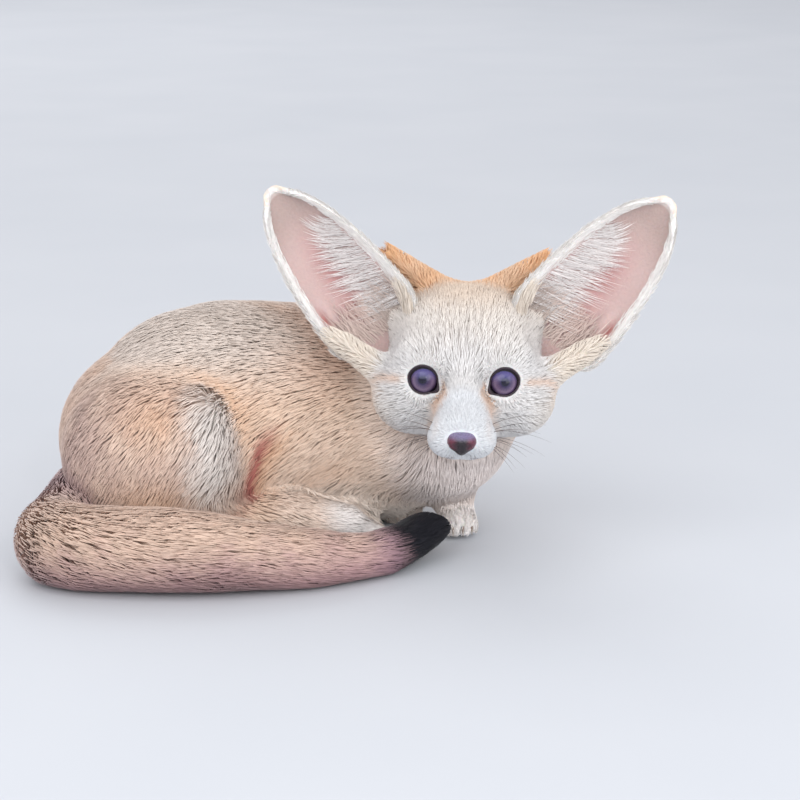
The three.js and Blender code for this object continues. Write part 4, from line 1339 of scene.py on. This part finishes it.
deselect()
curve = bpy.data.curves.new("whiskers", "CURVE")
curve.dimensions = "3D"
curve.bevel_depth = 0.001
curve.bevel_resolution = 1
for side in (1, -1):
    for i in range(whisker["rows"]):
        t = i / (whisker["rows"] - 1)
        start = np.array([[11.5 + 1.2 * math.sin(i * 2.1), -27 + 4.5 * math.cos(i * 1.7), -14.5 - 8 * t]])
        start = toHead(settle(fromHead(start), skinLevel, passes=4))[0] * (side, 1, 1)
        tilt = math.radians(24 - 66 * t + 6 * math.sin(i * 3.3))
        way = unit(np.array([math.cos(tilt) * side, 0.22 + 0.25 * math.sin(i * 1.9), math.sin(tilt)]))
        length = whisker["longest"] + (whisker["shortest"] - whisker["longest"]) * t + 3 * math.sin(i * 2.7)
        whiskerSpline(curve, start, way, length, whisker["droop"], whisker["radius"])
    for i in range(3):
        start = np.array([[14 + 2.5 * i, -9, 10.5]])
        start = toHead(settle(fromHead(start), skinLevel, passes=4))[0] * (side, 1, 1)
        whiskerSpline(curve, start, unit(np.array([0.35 * side * i, -0.5, 1.0])), 11 + 2 * i, 0.1, 0.08)
whiskers = bpy.data.objects.new("whiskers", curve)
scene.collection.objects.link(whiskers)
pick(whiskers)
bpy.ops.object.convert(target="MESH")
whiskers = bpy.context.object
bpy.ops.object.shade_smooth()
whiskerMaterial, tree, shader = newMaterial("dark bristle", Roughness=0.4, Specular_IOR_Level=0.45)
place = addNode(tree, "ShaderNodeTexCoord")
bands = addNode(tree, "ShaderNodeTexNoise", {"Vector": place.outputs["Object"], "Scale": 150, "Detail": 1})
tone = addNode(tree, "ShaderNodeMix", {"Factor": bands.outputs["Fac"], "A": (*linear("#2a2026"), 1), "B": (*linear("#6a5650"), 1)}, data_type="RGBA")
tree.links.new(tone.outputs["Result"], shader.inputs["Base Color"])
dress(whiskers, whiskerMaterial)
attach(whiskers, "root")
print("whiskers made")

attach(skin, "root")
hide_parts(*flesh, "ear_left", "ear_right")


# Camera at the photo's viewing angle, pale floor and soft studio light

view = dict(target=(0.02334, -0.00984, 0.068), distance=0.95, elevation=15, lens=100)
rise = math.radians(view["elevation"])
deselect()
bpy.ops.object.camera_add(location=Vector(view["target"]) + Vector((0, -math.cos(rise), math.sin(rise))) * view["distance"],
                          rotation=(math.pi / 2 - rise, 0, 0))
camera = bpy.context.object
camera.data.lens = view["lens"]
scene.camera = camera

bpy.ops.mesh.primitive_plane_add(size=8)
floor = bpy.context.object
floor.name = "floor"
floorMaterial, tree, shader = newMaterial("matt pale board", Roughness=0.9)
place = addNode(tree, "ShaderNodeTexCoord")
mottle = addNode(tree, "ShaderNodeTexNoise", {"Vector": place.outputs["Object"], "Scale": 6, "Detail": 2})
tone = addNode(tree, "ShaderNodeMix", {"Factor": mottle.outputs["Fac"], "A": (*linear("#c3c7cd"), 1), "B": (*linear("#cbced3"), 1)}, data_type="RGBA")
tree.links.new(tone.outputs["Result"], shader.inputs["Base Color"])
dress(floor, floorMaterial)

lamps = {"key": dict(place=(-0.45, -1.1, 1.1), size=1.5, power=12.5),
         "fill": dict(place=(0.9, -1.0, 0.55), size=1.2, power=8),
         "catchlight": dict(place=(0.3, -1.3, 0.75), size=0.1, power=1.6),
         "back": dict(place=(-0.9, 2.2, 2.1), size=2.6, power=30)}
for name, lamp in lamps.items():
    bpy.ops.object.light_add(type="AREA", location=lamp["place"])
    light = bpy.context.object
    light.name = name
    light.data.energy, light.data.size = lamp["power"], lamp["size"]
    light.rotation_euler = (Vector(lamp["place"]) - Vector((0, 0, 0.05))).to_track_quat("Z", "Y").to_euler()
world = bpy.data.worlds.new("studio")
scene.world = world
world.use_nodes = True
background = world.node_tree.nodes["Background"]
background.inputs["Color"].default_value = (*linear("#e6e6ea"), 1)
background.inputs["Strength"].default_value = 0.95
scene.view_settings.view_transform = "Standard"
